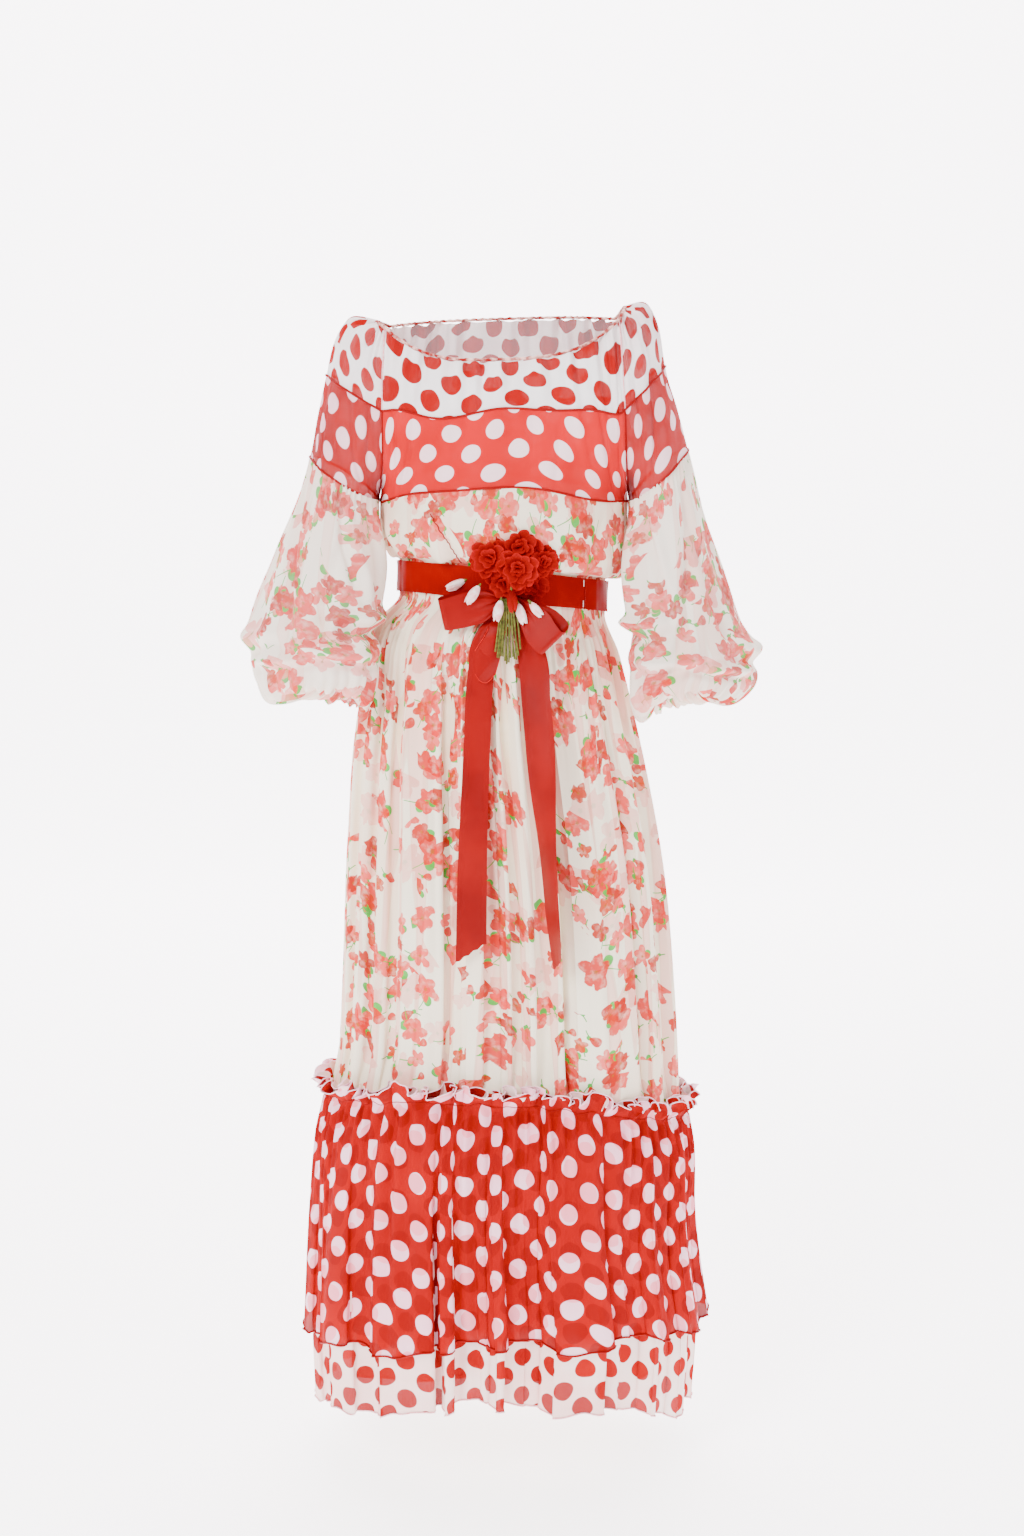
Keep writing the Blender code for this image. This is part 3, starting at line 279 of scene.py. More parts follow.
def sines(x, *terms):
    """A sum of sines: each term is (times, phase, amount)."""
    return sum(amount * np.sin(times * x + phase) for times, phase, amount in terms)


def unit(vectors):
    return vectors / np.linalg.norm(vectors, axis=-1, keepdims=True)


def points(x, y, z):
    return np.stack(np.broadcast_arrays(x, y, z), axis=-1)


def waist_height(x, y):
    return WAIST_Z + WAIST_FALL_X * x + WAIST_FALL_Y * y


def level_height(level, angle):
    mean, tilt, rise = level
    return mean + tilt * np.cos(angle) + rise * np.clip(-np.sin(angle), 0, 1) ** 2


def oval(angle, right, left, depth, out=0.0):
    """A level ring with a half-width of its own on each side, moved out."""
    return ((left - right) / 2 + ((left + right) / 2 + out) * np.cos(angle), (depth + out) * np.sin(angle))


def creased(grid, closed, push):
    """The grid moved along its normals: the way down the cloth crossed with the way round it."""
    if closed:
        around = np.roll(grid, -1, axis=1) - np.roll(grid, 1, axis=1)
    else:
        around = np.gradient(grid, axis=1)
    found = np.cross(np.gradient(grid, axis=0), around)
    found /= np.maximum(np.linalg.norm(found, axis=2, keepdims=True), 1e-12)
    return grid + found * push[:, :, None]


def arc(grid, axis):
    """Length along the grid from its first row or column, on each line."""
    total = np.cumsum(np.linalg.norm(np.diff(grid, axis=axis), axis=2), axis=axis)
    pad = [(0, 0), (0, 0)]
    pad[axis] = (1, 0)
    return np.pad(total, pad)


def cloth_uv(grid, row):
    """The cloth's own coordinates in metres: across, measured along one row where it lies open; and down."""
    across = arc(grid[row : row + 1], 1)[0]
    down = arc(grid, 0).mean(axis=1)
    return np.stack(np.broadcast_arrays(across[None, :], down[:, None]), axis=2)


def ribbon_uv(grid):
    """The same for a ribbon that hangs: measured down its middle column."""
    return cloth_uv(grid.transpose(1, 0, 2), 7).transpose(1, 0, 2)


def wrapped(grid):
    """A closed grid with its first column repeated at the end."""
    return np.concatenate([grid, grid[:, :1]], axis=1)


def slanted(uv, lean, sway, seed):
    """The print drawn askew by the folds: it leans by a slowly changing share and sways up and down."""
    across, down = uv[..., 0], uv[..., 1]
    u = across + lean * (down - down.max() / 2) * sines(across, (13, seed, 1.0), (29, 2 * seed, 0.6))
    v = down + sway * sines(across, (19, seed, 1.0), (43, 3 * seed, 0.55))
    return np.stack([u, v], axis=-1)


def puckered(uv, amount, length):
    """The print squeezed between the gathers at the top edge, fading down the cloth."""
    across, down = uv[..., 0], uv[..., 1]
    phase = 2 * np.pi * across / 0.021 + sines(across, (37, 0.4, 1.4), (83, 1.0, 0.9))
    near = amount * np.exp(-((down / length) ** 2))
    return np.stack([across + near * np.sin(phase), down + 0.5 * near * np.sin(phase + 1.0)], axis=-1)


# ---------------------------------------------------------------- materials
class Value:
    """A node's output that takes part in sums, so that a shader's formula reads as it is written."""

    def __init__(self, look, socket):
        self.look, self.socket = look, socket

    def to(self, operation, other=0.5):
        node = self.look.add("ShaderNodeMath", self, other, 0.5, operation=operation)
        return Value(self.look, node.outputs[0])

    def __add__(self, other):
        return self.to("ADD", other)

    __radd__ = __add__

    def __sub__(self, other):
        return self.to("SUBTRACT", other)

    def __rsub__(self, other):
        return (self * -1.0).to("ADD", other)

    def __mul__(self, other):
        return self.to("MULTIPLY", other)

    def __truediv__(self, other):
        return self.to("DIVIDE", other)


class Look:
    """A material's node tree with short ways to add nodes."""

    def __init__(self, name, roughness, specular=0.5, sheen=0.0, alpha=1.0):
        self.material = bpy.data.materials.new(name)
        self.material.use_nodes = True
        self.tree = self.material.node_tree
        self.shader = self.tree.nodes["Principled BSDF"]
        for socket, value in (("Roughness", roughness), ("Specular IOR Level", specular),
                              ("Sheen Weight", sheen), ("Sheen Roughness", 0.4), ("Alpha", alpha)):
            self.give(self.shader, socket, value)

    def give(self, node, socket, value):
        """A node's input takes another's output, or a plain value."""
        if isinstance(value, Value):
            self.tree.links.new(value.socket, node.inputs[socket])
        else:
            node.inputs[socket].default_value = value

    def add(self, kind, *values, named=(), **settings):
        node = self.tree.nodes.new(kind)
        for key, value in settings.items():
            setattr(node, key, value)
        for socket, value in (*enumerate(values), *dict(named).items()):
            self.give(node, socket, value)
        return node

    def vector(self, operation, a, b=(0.0, 0.0, 0.0), **named):
        node = self.add("ShaderNodeVectorMath", a, b, operation=operation, named=named)
        return Value(self, node.outputs["Value" if operation == "LENGTH" else "Vector"])

    def split(self, value, kind="ShaderNodeSeparateXYZ"):
        return [Value(self, socket) for socket in self.add(kind, value).outputs]

    def mix(self, factor, a, b):
        """Two colours mixed, each a node's output or three numbers from 0 to 255."""
        node = self.add("ShaderNodeMix", data_type="RGBA")
        for socket, value in ((0, factor), (6, a), (7, b)):
            self.give(node, socket, rgb(*value) if isinstance(value, tuple) else value)
        return Value(self, node.outputs[2])

    def step(self, value, low, high):
        """0 below low, 1 above high, smooth between; low may be above high."""
        named = {"Value": value, "From Min": low, "From Max": high}
        return Value(self, self.add("ShaderNodeMapRange", named=named, interpolation_type="SMOOTHSTEP").outputs["Result"])

    def noise(self, where, scale, detail=2.0, output="Fac"):
        named = {"Vector": where, "Scale": scale, "Detail": detail}
        return Value(self, self.add("ShaderNodeTexNoise", named=named, noise_dimensions="3D").outputs[output])

    def uv(self):
        return Value(self, self.add("ShaderNodeUVMap", uv_map="cloth").outputs["UV"])

    def place(self):
        return Value(self, self.add("ShaderNodeTexCoord").outputs["Object"])

    def finish(self, colour, height, strength, distance):
        """The colour and the fine relief, which complete the material."""
        self.give(self.shader, "Base Color", colour)
        named = {"Strength": strength, "Distance": distance, "Height": height}
        self.give(self.shader, "Normal", Value(self, self.add("ShaderNodeBump", named=named).outputs["Normal"]))
        return self.material


def rgb(red, green, blue):
    """A colour as it looks under the strong studio light, given as 0 to 255.

    The linear colour is deepened, because bright light pales it: the weaker channels fall by a power
    of their share of the strongest one, and a pure colour is darkened.
    """
    value = np.array([red, green, blue]) / 255
    linear = np.where(value <= 0.04045, value / 12.92, ((value + 0.055) / 1.055) ** 2.4)
    top = linear.max()
    share = linear / top
    pure = 1 - share.min()
    deep = top * share ** 1.8 * (1 - 0.42 * pure ** 6 - 0.27 * pure ** 30)
    return (*[float(v) for v in deep], 1.0)


def chiffon(look, uv, colour):
    """Completes sheer cloth with its fine crinkle: two crossed thread waves and a soft noise."""
    across, down, _ = look.split(uv)
    weave = ((across * 7000.0).to("SINE") + (down * 7000.0).to("SINE")) * 0.25
    return look.finish(colour, weave + look.noise(look.place(), 55.0, 3.0) * 3.0, 0.25, 0.0006)


def dot_mask(look, uv, pitch, radius, wobble=0.05):
    """Dots on a staggered lattice: the distance to the nearer of two square lattices, half a pitch apart."""
    bent = look.vector("SUBTRACT", look.noise(uv, 45.0, 1.0, "Color"), (0.5, 0.5, 0.5))
    shift = look.vector("SCALE", bent, Scale=wobble * radius * 4)
    across, down, _ = look.split(look.vector("ADD", uv, shift))
    dx, dy = across.to("PINGPONG", pitch / 2), down.to("PINGPONG", pitch / 2)
    ex, ey = pitch / 2 - dx, pitch / 2 - dy
    nearest = (dx * dx + dy * dy).to("SQRT").to("MINIMUM", (ex * ex + ey * ey).to("SQRT"))
    return look.step(nearest, radius * 1.03, radius * 0.97)


def dotted(name, ground, dot, pitch, radius, alpha, behind=None):
    """Chiffon with a staggered dot print, both colours a little uneven.

    Behind names the colours that the ground and the dots take where the dots of the layer below show
    through them.
    """
    look = Look(name, 0.75, 0.06, alpha=alpha)
    uv = look.uv()
    mask = dot_mask(look, uv, pitch, radius)
    deep = look.step(look.noise(look.place(), 9.0, 3.0), 0.35, 0.7)
    grounds, dots = look.mix(deep, *ground), look.mix(deep, *dot)
    if behind:
        below = dot_mask(look, look.vector("ADD", uv, (0.017, 0.0085, 0.0)), 0.053, 0.0135, 0.12)
        grounds = look.mix(below * 0.75, grounds, behind[0])
        dots = look.mix(below * 0.8, dots, behind[1])
    return chiffon(look, uv, look.mix(mask, grounds, dots))


def blossom_layer(look, uv, cell, size, share, seed, petals):
    """One layer of scattered flowers, or of buds where petals is 0.

    A Voronoi texture gives each cell a middle and three random numbers. Round the middle, in a frame
    turned by the first, the edge of a flower is a ragged star with that many petals. A bud is an oval
    with a green cup. Both have a thin bent stem. The second number and a slow noise say where flowers
    stand, so that they gather in clusters. Returns the petals' mask, the green mask, the tone and how
    near the middle.
    """
    moved = look.vector("ADD", uv, (seed * 1.37, seed * 0.71, 0.0))
    cells = look.add("ShaderNodeTexVoronoi", voronoi_dimensions="2D", feature="F1",
                     named={"Vector": moved, "Scale": 1.0 / cell, "Randomness": 0.85})
    turn, here, tone = look.split(Value(look, cells.outputs["Color"]), "ShaderNodeSeparateColor")
    offset = look.vector("SUBTRACT", moved, Value(look, cells.outputs["Position"]))
    rotated = look.add("ShaderNodeVectorRotate", offset, rotation_type="Z_AXIS", named={"Angle": turn * 6.283})
    x, y, _ = look.split(Value(look, rotated.outputs["Vector"]))
    scale = (tone * 0.5 + 0.75) * size
    distance = look.vector("LENGTH", offset)
    if petals:
        lobes = (y.to("ARCTAN2", x) * (petals / 2)).to("COSINE").to("ABSOLUTE")
        ragged, uneven = look.noise(moved, 230.0, 1.0), look.noise(moved, 70.0, 0.0)
        nearness = distance / ((lobes * 0.40 + ragged * 0.22 + uneven * 0.90 + 0.08) * scale)
    else:
        a = x / (y * 0.35 + scale * 0.62)
        b = (y - scale * 0.2) / scale
        nearness = (a * a + b * b).to("SQRT")
    cluster = look.noise(look.vector("ADD", uv, (3.1, 8.7, 0.0)), 6.5, 1.0)
    stands = here.to("LESS_THAN", cluster * 1.8 + (share - 0.9))
    stem = look.step((x - y * y * 28.0).to("ABSOLUTE"), 0.0011, 0.0007)
    below = y.to("LESS_THAN", 0.0) * distance.to("LESS_THAN", scale * 2.0)
    cup_a, cup_b = x / (scale * 0.34), (y + scale * 0.85) / (scale * 0.42)
    cup = look.step(cup_a * cup_a + cup_b * cup_b, 1.1, 0.85)
    green = (stem * below).to("MAXIMUM", cup)
    return look.step(nearness, 1.03, 0.95) * stands, green * stands, tone, nearness


# Layers of the floral print: cell, size, share, seed, petals, pale and strong colour, strength.
BUDS_AND_FLOWERS = (
    (0.037, 0.0080, 0.42, 2.0, 0, (244, 96, 84), (240, 66, 56), 0.95),
    (0.047, 0.0160, 0.60, 11.0, 5, (251, 142, 136), (249, 112, 106), 0.93),
    (0.062, 0.0185, 0.50, 17.0, 5, (250, 112, 108), (248, 84, 76), 0.95),
    (0.036, 0.0125, 0.34, 23.0, 5, (255, 130, 62), (252, 94, 40), 0.96),
)
LEAFLESS = 0.6  # a layer no stronger than this has no leaves


def floral(name, ground, alpha, faint, folded):
    """Cream chiffon with watercolour blossoms: a faint layer behind, buds, then layers of flowers.

    Folded says how strongly narrow lengthwise bands, where the cloth lies double, are tinted, and how strongly
    thin lines along their edges are darkened with painted shade.
    """
    look = Look(name, 0.75, 0.12, 0.05, alpha)
    uv = look.uv()
    wash = look.noise(uv, 95.0, 3.0)
    colour = look.mix(look.step(look.noise(uv, 4.5), 0.42, 0.75) * 0.55, *ground)
    band = look.noise(look.vector("MULTIPLY", uv, (1.0, 0.05, 1.0)), 32.0, 1.0)
    double = look.step(band, 0.555, 0.575) * folded
    # Thin lines along the bands' edges: painted shade of the folds.
    painted_crease_shade = look.step((band - 0.56).to("ABSOLUTE"), 0.020, 0.008)
    colour = look.mix(double * 0.62, colour, (250, 214, 204))
    colour = look.mix(painted_crease_shade * (0.55 * folded), colour, (236, 206, 192))
    behind = (0.052, 0.0200, 0.52, 5.0, 5, (251, 190, 186), (249, 168, 162), faint)
    for *layer, pale, strong, strength in (behind, *BUDS_AND_FLOWERS):
        mask, green, tone, near = blossom_layer(look, uv, *layer)
        if strength > LEAFLESS:
            colour = look.mix(green * 0.95, colour, look.mix(wash, (118, 200, 112), (70, 150, 66)))
        petal = look.mix(look.step(tone, 0.25, 0.75), pale, strong)
        petal = look.mix(look.step(wash, 0.45, 0.75) * 0.34, petal, ground[0])
        petal = look.mix(look.step(near, 0.74, 1.0) * 0.45, petal, strong)
        petal = look.mix(double * 0.60, petal, (250, 88, 56))
        petal = look.mix(look.step(near, 0.20, 0.08) * 0.75, petal, (190, 140, 60))
        colour = look.mix(mask * strength, colour, petal)
    return chiffon(look, uv, colour)


def plain(name, pale, strong, roughness, scale, sheen=0.0, relief=0.2):
    """Cloth or thread in two close colours that a noise mixes."""
    look = Look(name, roughness, 0.10, sheen)
    colour = look.mix(look.step(look.noise(look.place(), scale, 3.0), 0.35, 0.65), pale, strong)
    return look.finish(colour, look.noise(look.place(), scale * 6), relief, 0.0003)


def satin(name, pale, strong, gloss):
    """Satin ribbon: a smooth sheet with a fine crosswise rib and a soft gloss along its width, its red lighter
    and darker in slow patches of painted highlight and painted shade.
    """
    look = Look(name, 0.42, gloss)
    # A slow noise: its patches of pale and strong red are painted highlights and painted shade, and it also
    # shapes the relief.
    painted_gloss_and_relief = look.noise(look.place(), 16.0)
    rib = (look.split(look.uv())[0] * 9000.0).to("SINE")
    return look.finish(look.mix(look.step(painted_gloss_and_relief, 0.3, 0.7), pale, strong), rib * 0.2 + painted_gloss_and_relief, 0.15, 0.0015)


def silk_petal(name):
    """Thin red silk with fine veins along it: painted shade deepens it near the petal's foot, and a painted
    highlight lightens its rim and sides.
    """
    look = Look(name, 0.65, 0.06)
    across, along, _ = look.split(look.uv())
    aside = (across - 0.5).to("ABSOLUTE")
    # The petal's rim and sides, which take a painted highlight.
    edge = look.step(along, 0.84, 1.0).to("MAXIMUM", look.step(aside, 0.38, 0.50))
    # Painted shade near the foot, deep in the bloom, fading toward the rim.
    colour = look.mix(look.step(along, 0.1, 0.9), (190, 0, 12), (232, 0, 20))
    colour = look.mix(edge * 0.5, colour, (250, 40, 62))
    vein = (across * 60.0).to("SINE")
    return look.finish(colour, vein * 0.3 + look.noise(look.place(), 300.0), 0.3, 0.0008)


CREAM = ((255, 249, 235), (254, 234, 218))
WARM_CREAM = ((255, 249, 240), (254, 233, 223))
SLOTS = {
    "white_dotted_chiffon": {
        "yoke": dotted("white_dotted_yoke", ((254, 251, 251), (250, 242, 242)),
                       ((236, 34, 40), (226, 20, 28)), 0.052, 0.0132, 0.96),
        "yoke_sleeve": dotted("white_dotted_sleeve", ((254, 250, 250), (252, 242, 243)),
                              ((238, 40, 46), (228, 24, 32)), 0.052, 0.0132, 0.90),
        "under": dotted("white_dotted_under", ((254, 240, 236), (250, 224, 220)),
                        ((236, 34, 42), (226, 18, 28)), 0.053, 0.0130, 0.98),
        "hem": plain("pale_rolled_hem", (252, 226, 228), (246, 196, 202), 0.7, 400.0),
        "lettuce": plain("pink_lettuce_edge", (253, 232, 238), (250, 214, 224), 0.7, 300.0),
    },
    "red_dotted_chiffon": {
        "band": dotted("red_dotted_band", ((248, 72, 88), (242, 52, 68)),
                       ((254, 240, 242), (250, 224, 228)), 0.062, 0.0132, 0.97),
        "band_sleeve": dotted("red_dotted_sleeve", ((240, 36, 56), (230, 16, 34)),
                              ((253, 228, 232), (248, 208, 216)), 0.062, 0.0132, 0.91),
        "flounce": dotted("red_dotted_flounce", ((243, 26, 42), (234, 14, 30)),
                          ((252, 224, 232), (248, 204, 216)), 0.062, 0.0135, 0.97,
                          ((222, 2, 16), (247, 178, 188))),
    },
    "floral_chiffon": {
        "bodice": floral("floral_bodice", CREAM, 0.95, 0.45, 0.4),
        "skirt": floral("floral_skirt", CREAM, 0.95, 0.45, 1.0),
        "sleeve": floral("floral_sleeve", WARM_CREAM, 0.87, 0.75, 0.6),
    },
    "slip_lining": {"slip": plain("cream_slip", (252, 243, 226), (248, 232, 210), 0.5, 20.0, 0.3)},
    "ribbon_satin": {
        # The satins' pale and strong reds are painted highlights and painted shade.
        "ribbon": satin("red_satin", (240, 0, 20), (208, 0, 8), 0.12),
        "belt": satin("red_satin_taut", (240, 0, 20), (214, 0, 10), 0.02),
        # A lighter red for the thin tube along the doubled end's rim: a painted highlight.
        "painted_rim_highlight": plain("lighter_red_rim_highlight", (252, 70, 80), (248, 48, 58), 0.6, 300.0),
    },
    "binding_and_thread": {
        "thread": plain("dark_red_thread", (236, 8, 40), (222, 4, 30), 0.7, 900.0, 0.0, 0.1),
        "binding": plain("gathered_binding", (250, 220, 212), (214, 24, 40), 0.7, 110.0, 0.0, 0.3),
        "tick": plain("white_stitch", (250, 238, 236), (236, 210, 208), 0.6, 500.0, 0.1, 0.3),
    },
    "posy_silk": {"petal": silk_petal("red_silk_petal")},
    "posy_bud": {"bud": plain("white_silk_bud", (252, 240, 238), (244, 200, 198), 0.5, 160.0, 0.3, 0.3)},
    "posy_stem": {"stem": plain("olive_stem", (112, 112, 72), (78, 80, 48), 0.7, 260.0, 0.1, 0.5)},
}
FINISHES = {key: (slot, material) for slot, looks in SLOTS.items() for key, material in looks.items()}


# ---------------------------------------------------------------- meshes and pieces
def mesh_object(name, vertices, faces, corners_uv, material):
    """A mesh object at the origin from arrays of points and quads."""
    mesh = bpy.data.meshes.new(name)
    mesh.vertices.add(len(vertices))
    mesh.vertices.foreach_set("co", vertices.astype(np.float32).ravel())
    mesh.loops.add(faces.size)
    mesh.loops.foreach_set("vertex_index", faces.astype(np.int32).ravel())
    mesh.polygons.add(len(faces))
    mesh.polygons.foreach_set("loop_start", np.arange(0, faces.size, 4, dtype=np.int32))
    layer = mesh.uv_layers.new(name="cloth")
    layer.data.foreach_set("uv", corners_uv.astype(np.float32).ravel())
    mesh.update(calc_edges=True)
    mesh.validate()
    mesh.shade_smooth()
    mesh.materials.append(material)
    made = bpy.data.objects.new(name, mesh)
    bpy.context.scene.collection.objects.link(made)
    return made


def quads(rows, count, closed=False):
    """Quad indices of a grid's points, and of its UVs, which have a column more where it is closed."""
    row, column = np.meshgrid(np.arange(rows - 1), np.arange(count if closed else count - 1), indexing="ij")
    row, column = row.ravel(), column.ravel()

    def corners(wide, after):
        low, high = (row + 1) * wide, row * wide
        return np.stack([low + column, low + after, high + after, high + column], axis=1)

    return corners(count, (column + 1) % count), corners(count + closed, column + 1)


def many(name, grids, material):
    """Several open grids in one object, each with its own rows and columns as UVs from 0 to 1."""
    vertices, faces, uvs, offset = [], [], [], 0
    for grid in grids:
        rows, count = grid.shape[:2]
        face, kept = quads(rows, count)
        uv = np.stack(np.meshgrid(np.linspace(0, 1, count), np.linspace(0, 1, rows)), axis=2)
        vertices.append(grid.reshape(-1, 3))
        faces.append(face + offset)
        uvs.append(uv.reshape(-1, 2)[kept])
        offset += rows * count
    return mesh_object(name, *(np.concatenate(part) for part in (vertices, faces, uvs)), material)


def settle(piece, nodes=()):
    """The piece rides on the dress and stands for these nodes."""
    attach(piece, "root")
    if nodes:
        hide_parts(*nodes)
    return piece


def bundle(name, finish, grids, *nodes):
    """A settled piece of several small grids."""
    slot, material = FINISHES[finish]
    return settle(many(name, grids, material), nodes)


def sheet(name, finish, grid, uv, nodes, rests_on, flat, held="gathered", closed=False, with_pieces=()):
    """A settled cloth piece on one grid."""
    slot, material = FINISHES[finish]
    faces, kept = quads(*grid.shape[:2], closed)
    made = mesh_object(name, grid.reshape(-1, 3), faces, uv.reshape(-1, 2)[kept], material)
    piece = settle(made, nodes)


def tube_grid(path, radius, closed=False, sides=6, lift=0.0):
    """A round tube along a path, lift further out: rings square to its direction and its outward side."""
    if closed:
        along = unit(np.roll(path, -1, axis=0) - np.roll(path, 1, axis=0))
    else:
        along = unit(np.gradient(path, axis=0))
    out = path * FLAT + np.array([0.0, 0.0, 0.02])
    out = unit(out - (out * along).sum(axis=1, keepdims=True) * along)
    turn = np.linspace(0, 2 * np.pi, sides + 1)[:, None]
    ring = np.cos(turn) * out[:, None, :] + np.sin(turn) * np.cross(along, out)[:, None, :]
    grid = (path + lift * out)[:, None, :] + np.broadcast_to(radius, (len(path),))[:, None, None] * ring
    return np.concatenate([grid, grid[:1]], axis=0) if closed else grid


def trim(name, finish, paths, radius, closed=False, lift=0.0006):
    """Thin stitched lines or rolled edges along paths, as one settled piece."""
    return bundle(name, finish, [tube_grid(path, radius, closed, lift=lift) for path in paths])


# ---------------------------------------------------------------- skirts
def around(edges):
    """The pleat edges and the same on the back: mirrored to the other half of the ring, a little changed."""
    mirrored = []
    for i, (at, out, width, over) in enumerate(edges):
        moved = (540.0 - at) - 180.0 + 2.2 * np.sin(1.7 * i)
        moved += 360.0 if moved < 90.0 else 0.0
        mirrored.append((moved, -out * (0.9 + 0.25 * np.sin(2.3 * i)), width * 1.15, over))
    return (*edges, *mirrored)


def pleats(edges):
    """How far the cloth stands out, and how far it is shifted sideways to lap over, round the ring.

    Each edge is a smooth step. Beside it the cloth is moved sideways by a full sine, so that the fold
    laps over its neighbour. The forward stretches are at about zero, the others lie inside them.
    """
    level, shift = np.zeros_like(DEGREES), np.zeros_like(DEGREES)
    for at, out, width, over in edges:
        t = np.clip((DEGREES - at) / width + 0.5, 0, 1)
        level = level + out * t * t * (3 - 2 * t)
        shift = shift + over * np.sin(2 * np.pi * t)
    level = level - (DEGREES - DEGREES[0]) / 360.0 * level[-1]
    return level - np.quantile(level, 0.85), shift


def uneven_waves(count, seed):
    """Waves round the ring whose spacing varies."""
    return count * TURN + sines(TURN, (5, seed, 2.2), (11, 2.0 * seed, 1.5), (19, 3.0 * seed, 0.8))


def swollen(rows, at, angle, out):
    """Rings of a table's ovals at these places down it, moved out."""
    size = between(rows, at)
    return oval(angle, size["right_x"], size["left_x"], size["half_depth"], out)


def skirt_grid():
    """The gathered skirt: small gathers at the waist that run down unevenly into the long pleats."""
    level, shift = pleats(around(SKIRT_EDGES))
    fall = np.linspace(0, 1, 72) ** 1.25
    f = fall[:, None]
    length = 0.16 + 0.07 * np.sin(7 * TURN + 1.0) + 0.05 * np.sin(17 * TURN)
    gathers = 0.0030 * np.sin(uneven_waves(96, 0.4)) * np.exp(-((f / length) ** 1.3))
    gathers += 0.0024 * np.sin(uneven_waves(41, 1.9)) * (1 - 0.5 * f)
    gathers += 0.0014 * np.sin(uneven_waves(17, 0.9) + 3.0 * f)
    lapped = ramp(f, 0.02, 0.30)
    growth = 1.8 * lapped * (1 - 0.75 * ramp(f, 0.90, 1.0))
    angles = np.radians(DEGREES + shift * lapped)
    x, y = swollen(SKIRT, fall, angles, level * growth + gathers * ramp(f, 0.035, 0.11) - SHEET_INSET)
    return points(x, y, waist_height(x, y) * (1 - f) + level_height(SKIRT_SEAM, angles) * f)


def flounce_grid(rows, hem, inset, seed, curl, wider=0.0):
    """A flounce with its heading: one sheet that is gathered on the seam and ruffled above it.

    Below the seam the pleats grow with the drop, and short gathers fade out. Above it the edge waves in
    and out and sideways, more toward the top, and rolls forward, as an overlocked lettuce edge does.
    """
    edges = around(FLOUNCE_EDGES)
    level, shift = pleats([(at + wider * np.sign(out), out, width, over) for at, out, width, over in edges])
    deepest = rows["drop"][-1]
    up = np.linspace(1, 0, HEADING_ROWS + 1)[:-1]
    down = np.linspace(0, 1, 56) ** 1.15 * deepest
    drop = np.concatenate([-up * HEADING, down])
    s = np.concatenate([up, 0.0 * down])[:, None]
    d = np.maximum(drop, 0.0)[:, None]
    growth = 0.03 + 0.97 * ramp(d, -0.02, 0.27)
    length = 0.075 + 0.035 * np.sin(9 * TURN + 2.0) + 0.020 * np.sin(23 * TURN)
    fade = np.exp(-((d / length) ** 1.2)) * ramp(d, -0.004, 0.012)
    out = level * growth + 0.0042 * np.sin(uneven_waves(84, 1.1)) * fade
    out += 0.0027 * np.sin(uneven_waves(37, 2.7)) * ramp(d, 0.0, 0.06) * (1 - 0.45 * ramp(d, 0.1, 0.3))
    ruffle = uneven_waves(50, seed) + 1.3 * np.sin(31 * TURN)
    big = 1.0 + 0.45 * np.sin(13 * TURN + 1.3 * seed) + 0.30 * np.sin(29 * TURN)
    out += s ** 0.8 * big * (0.0070 * np.sin(ruffle) + 0.0046) + 0.0030 * s * s
    out -= inset + 0.0016 * bump(drop, 0.0, 0.007)[:, None]
    sideways = np.degrees(0.015) * s * big * np.sin(2 * ruffle + 0.8)
    angles = np.radians(DEGREES + shift * growth + sideways)
    x, y = swollen(rows, d[:, 0], angles, out)
    seam = level_height(SKIRT_SEAM, angles) + 0.0022 * np.sin(uneven_waves(24, 0.3))
    foot = level_height(hem, angles) + sines(angles, (7, seed, 0.0035), (13, 2 * seed, 0.0025), (31, 0.4, 0.0012))
    share = d / deepest
    top = HEADING * (1.0 + 0.22 * np.sin(17 * TURN + seed) + 0.16 * np.cos(ruffle))
    rolled = curl * s ** 2 * np.clip(np.sin(ruffle), 0, 1) ** 2
    return points(x, y, seam * (1 - share) + (foot - 0.22 * level) * share + s * top - rolled)


def ring_sheet(name, finish, grid, row, nodes, rests_on, flat, lean=0.0, sway=0.0, **more):
    """A tube of cloth whose first and last columns are one and the same."""
    uv = cloth_uv(grid, row)
    lengths = arc(grid, 0)[:, :-1]
    near = np.arange(-24, 25)
    uv[..., 1] = wrapped(sum(np.roll(lengths, n, axis=1) for n in near) / len(near))
    uv = slanted(uv, lean, sway, 0.6)
    sheet(name, finish, grid[:, :-1], uv, nodes, rests_on, flat, closed=True, **more)


def skirts():
    ring_sheet("skirt", "skirt", skirt_grid(), 58, ["skirt_front", "skirt_back"], ["belt", "slip_skirt"],
               (1.50, 0.66), 0.05, 0.012)
    under = flounce_grid(UNDER, UNDER_HEM, 0.0042, 2.0, 0.0040, 0.45)
    outer = flounce_grid(FLOUNCE, FLOUNCE_HEM, 0.0002, 0.9, 0.0060)
    edges = [
        trim(name, finish, [grid[row, :-1]], radius, closed=True)
        for name, finish, grid, row, radius in (
            ("outer_ruffle_edge", "lettuce", outer, 0, 0.0008),
            ("flounce_hem_edge", "thread", outer, -1, 0.0013),
            ("flounce_stitching", "thread", outer, HEADING_ROWS, 0.0004),
            ("under_ruffle_edge", "lettuce", under, 0, 0.0008),
            ("under_hem_edge", "hem", under, -1, 0.0010),
        )
    ]
    panels = ["skirt_front", "skirt_back"]
    ring_sheet("red_flounce", "flounce", outer, len(outer) - 1, ["flounce"], panels, (1.85, 0.34),
               0.06, 0.0065, with_pieces=edges[:3])
    ring_sheet("white_under_flounce", "under", under, len(under) - 1, ["under_flounce"], panels, (1.85, 0.45),
               0.03, 0.0035, with_pieces=edges[3:])


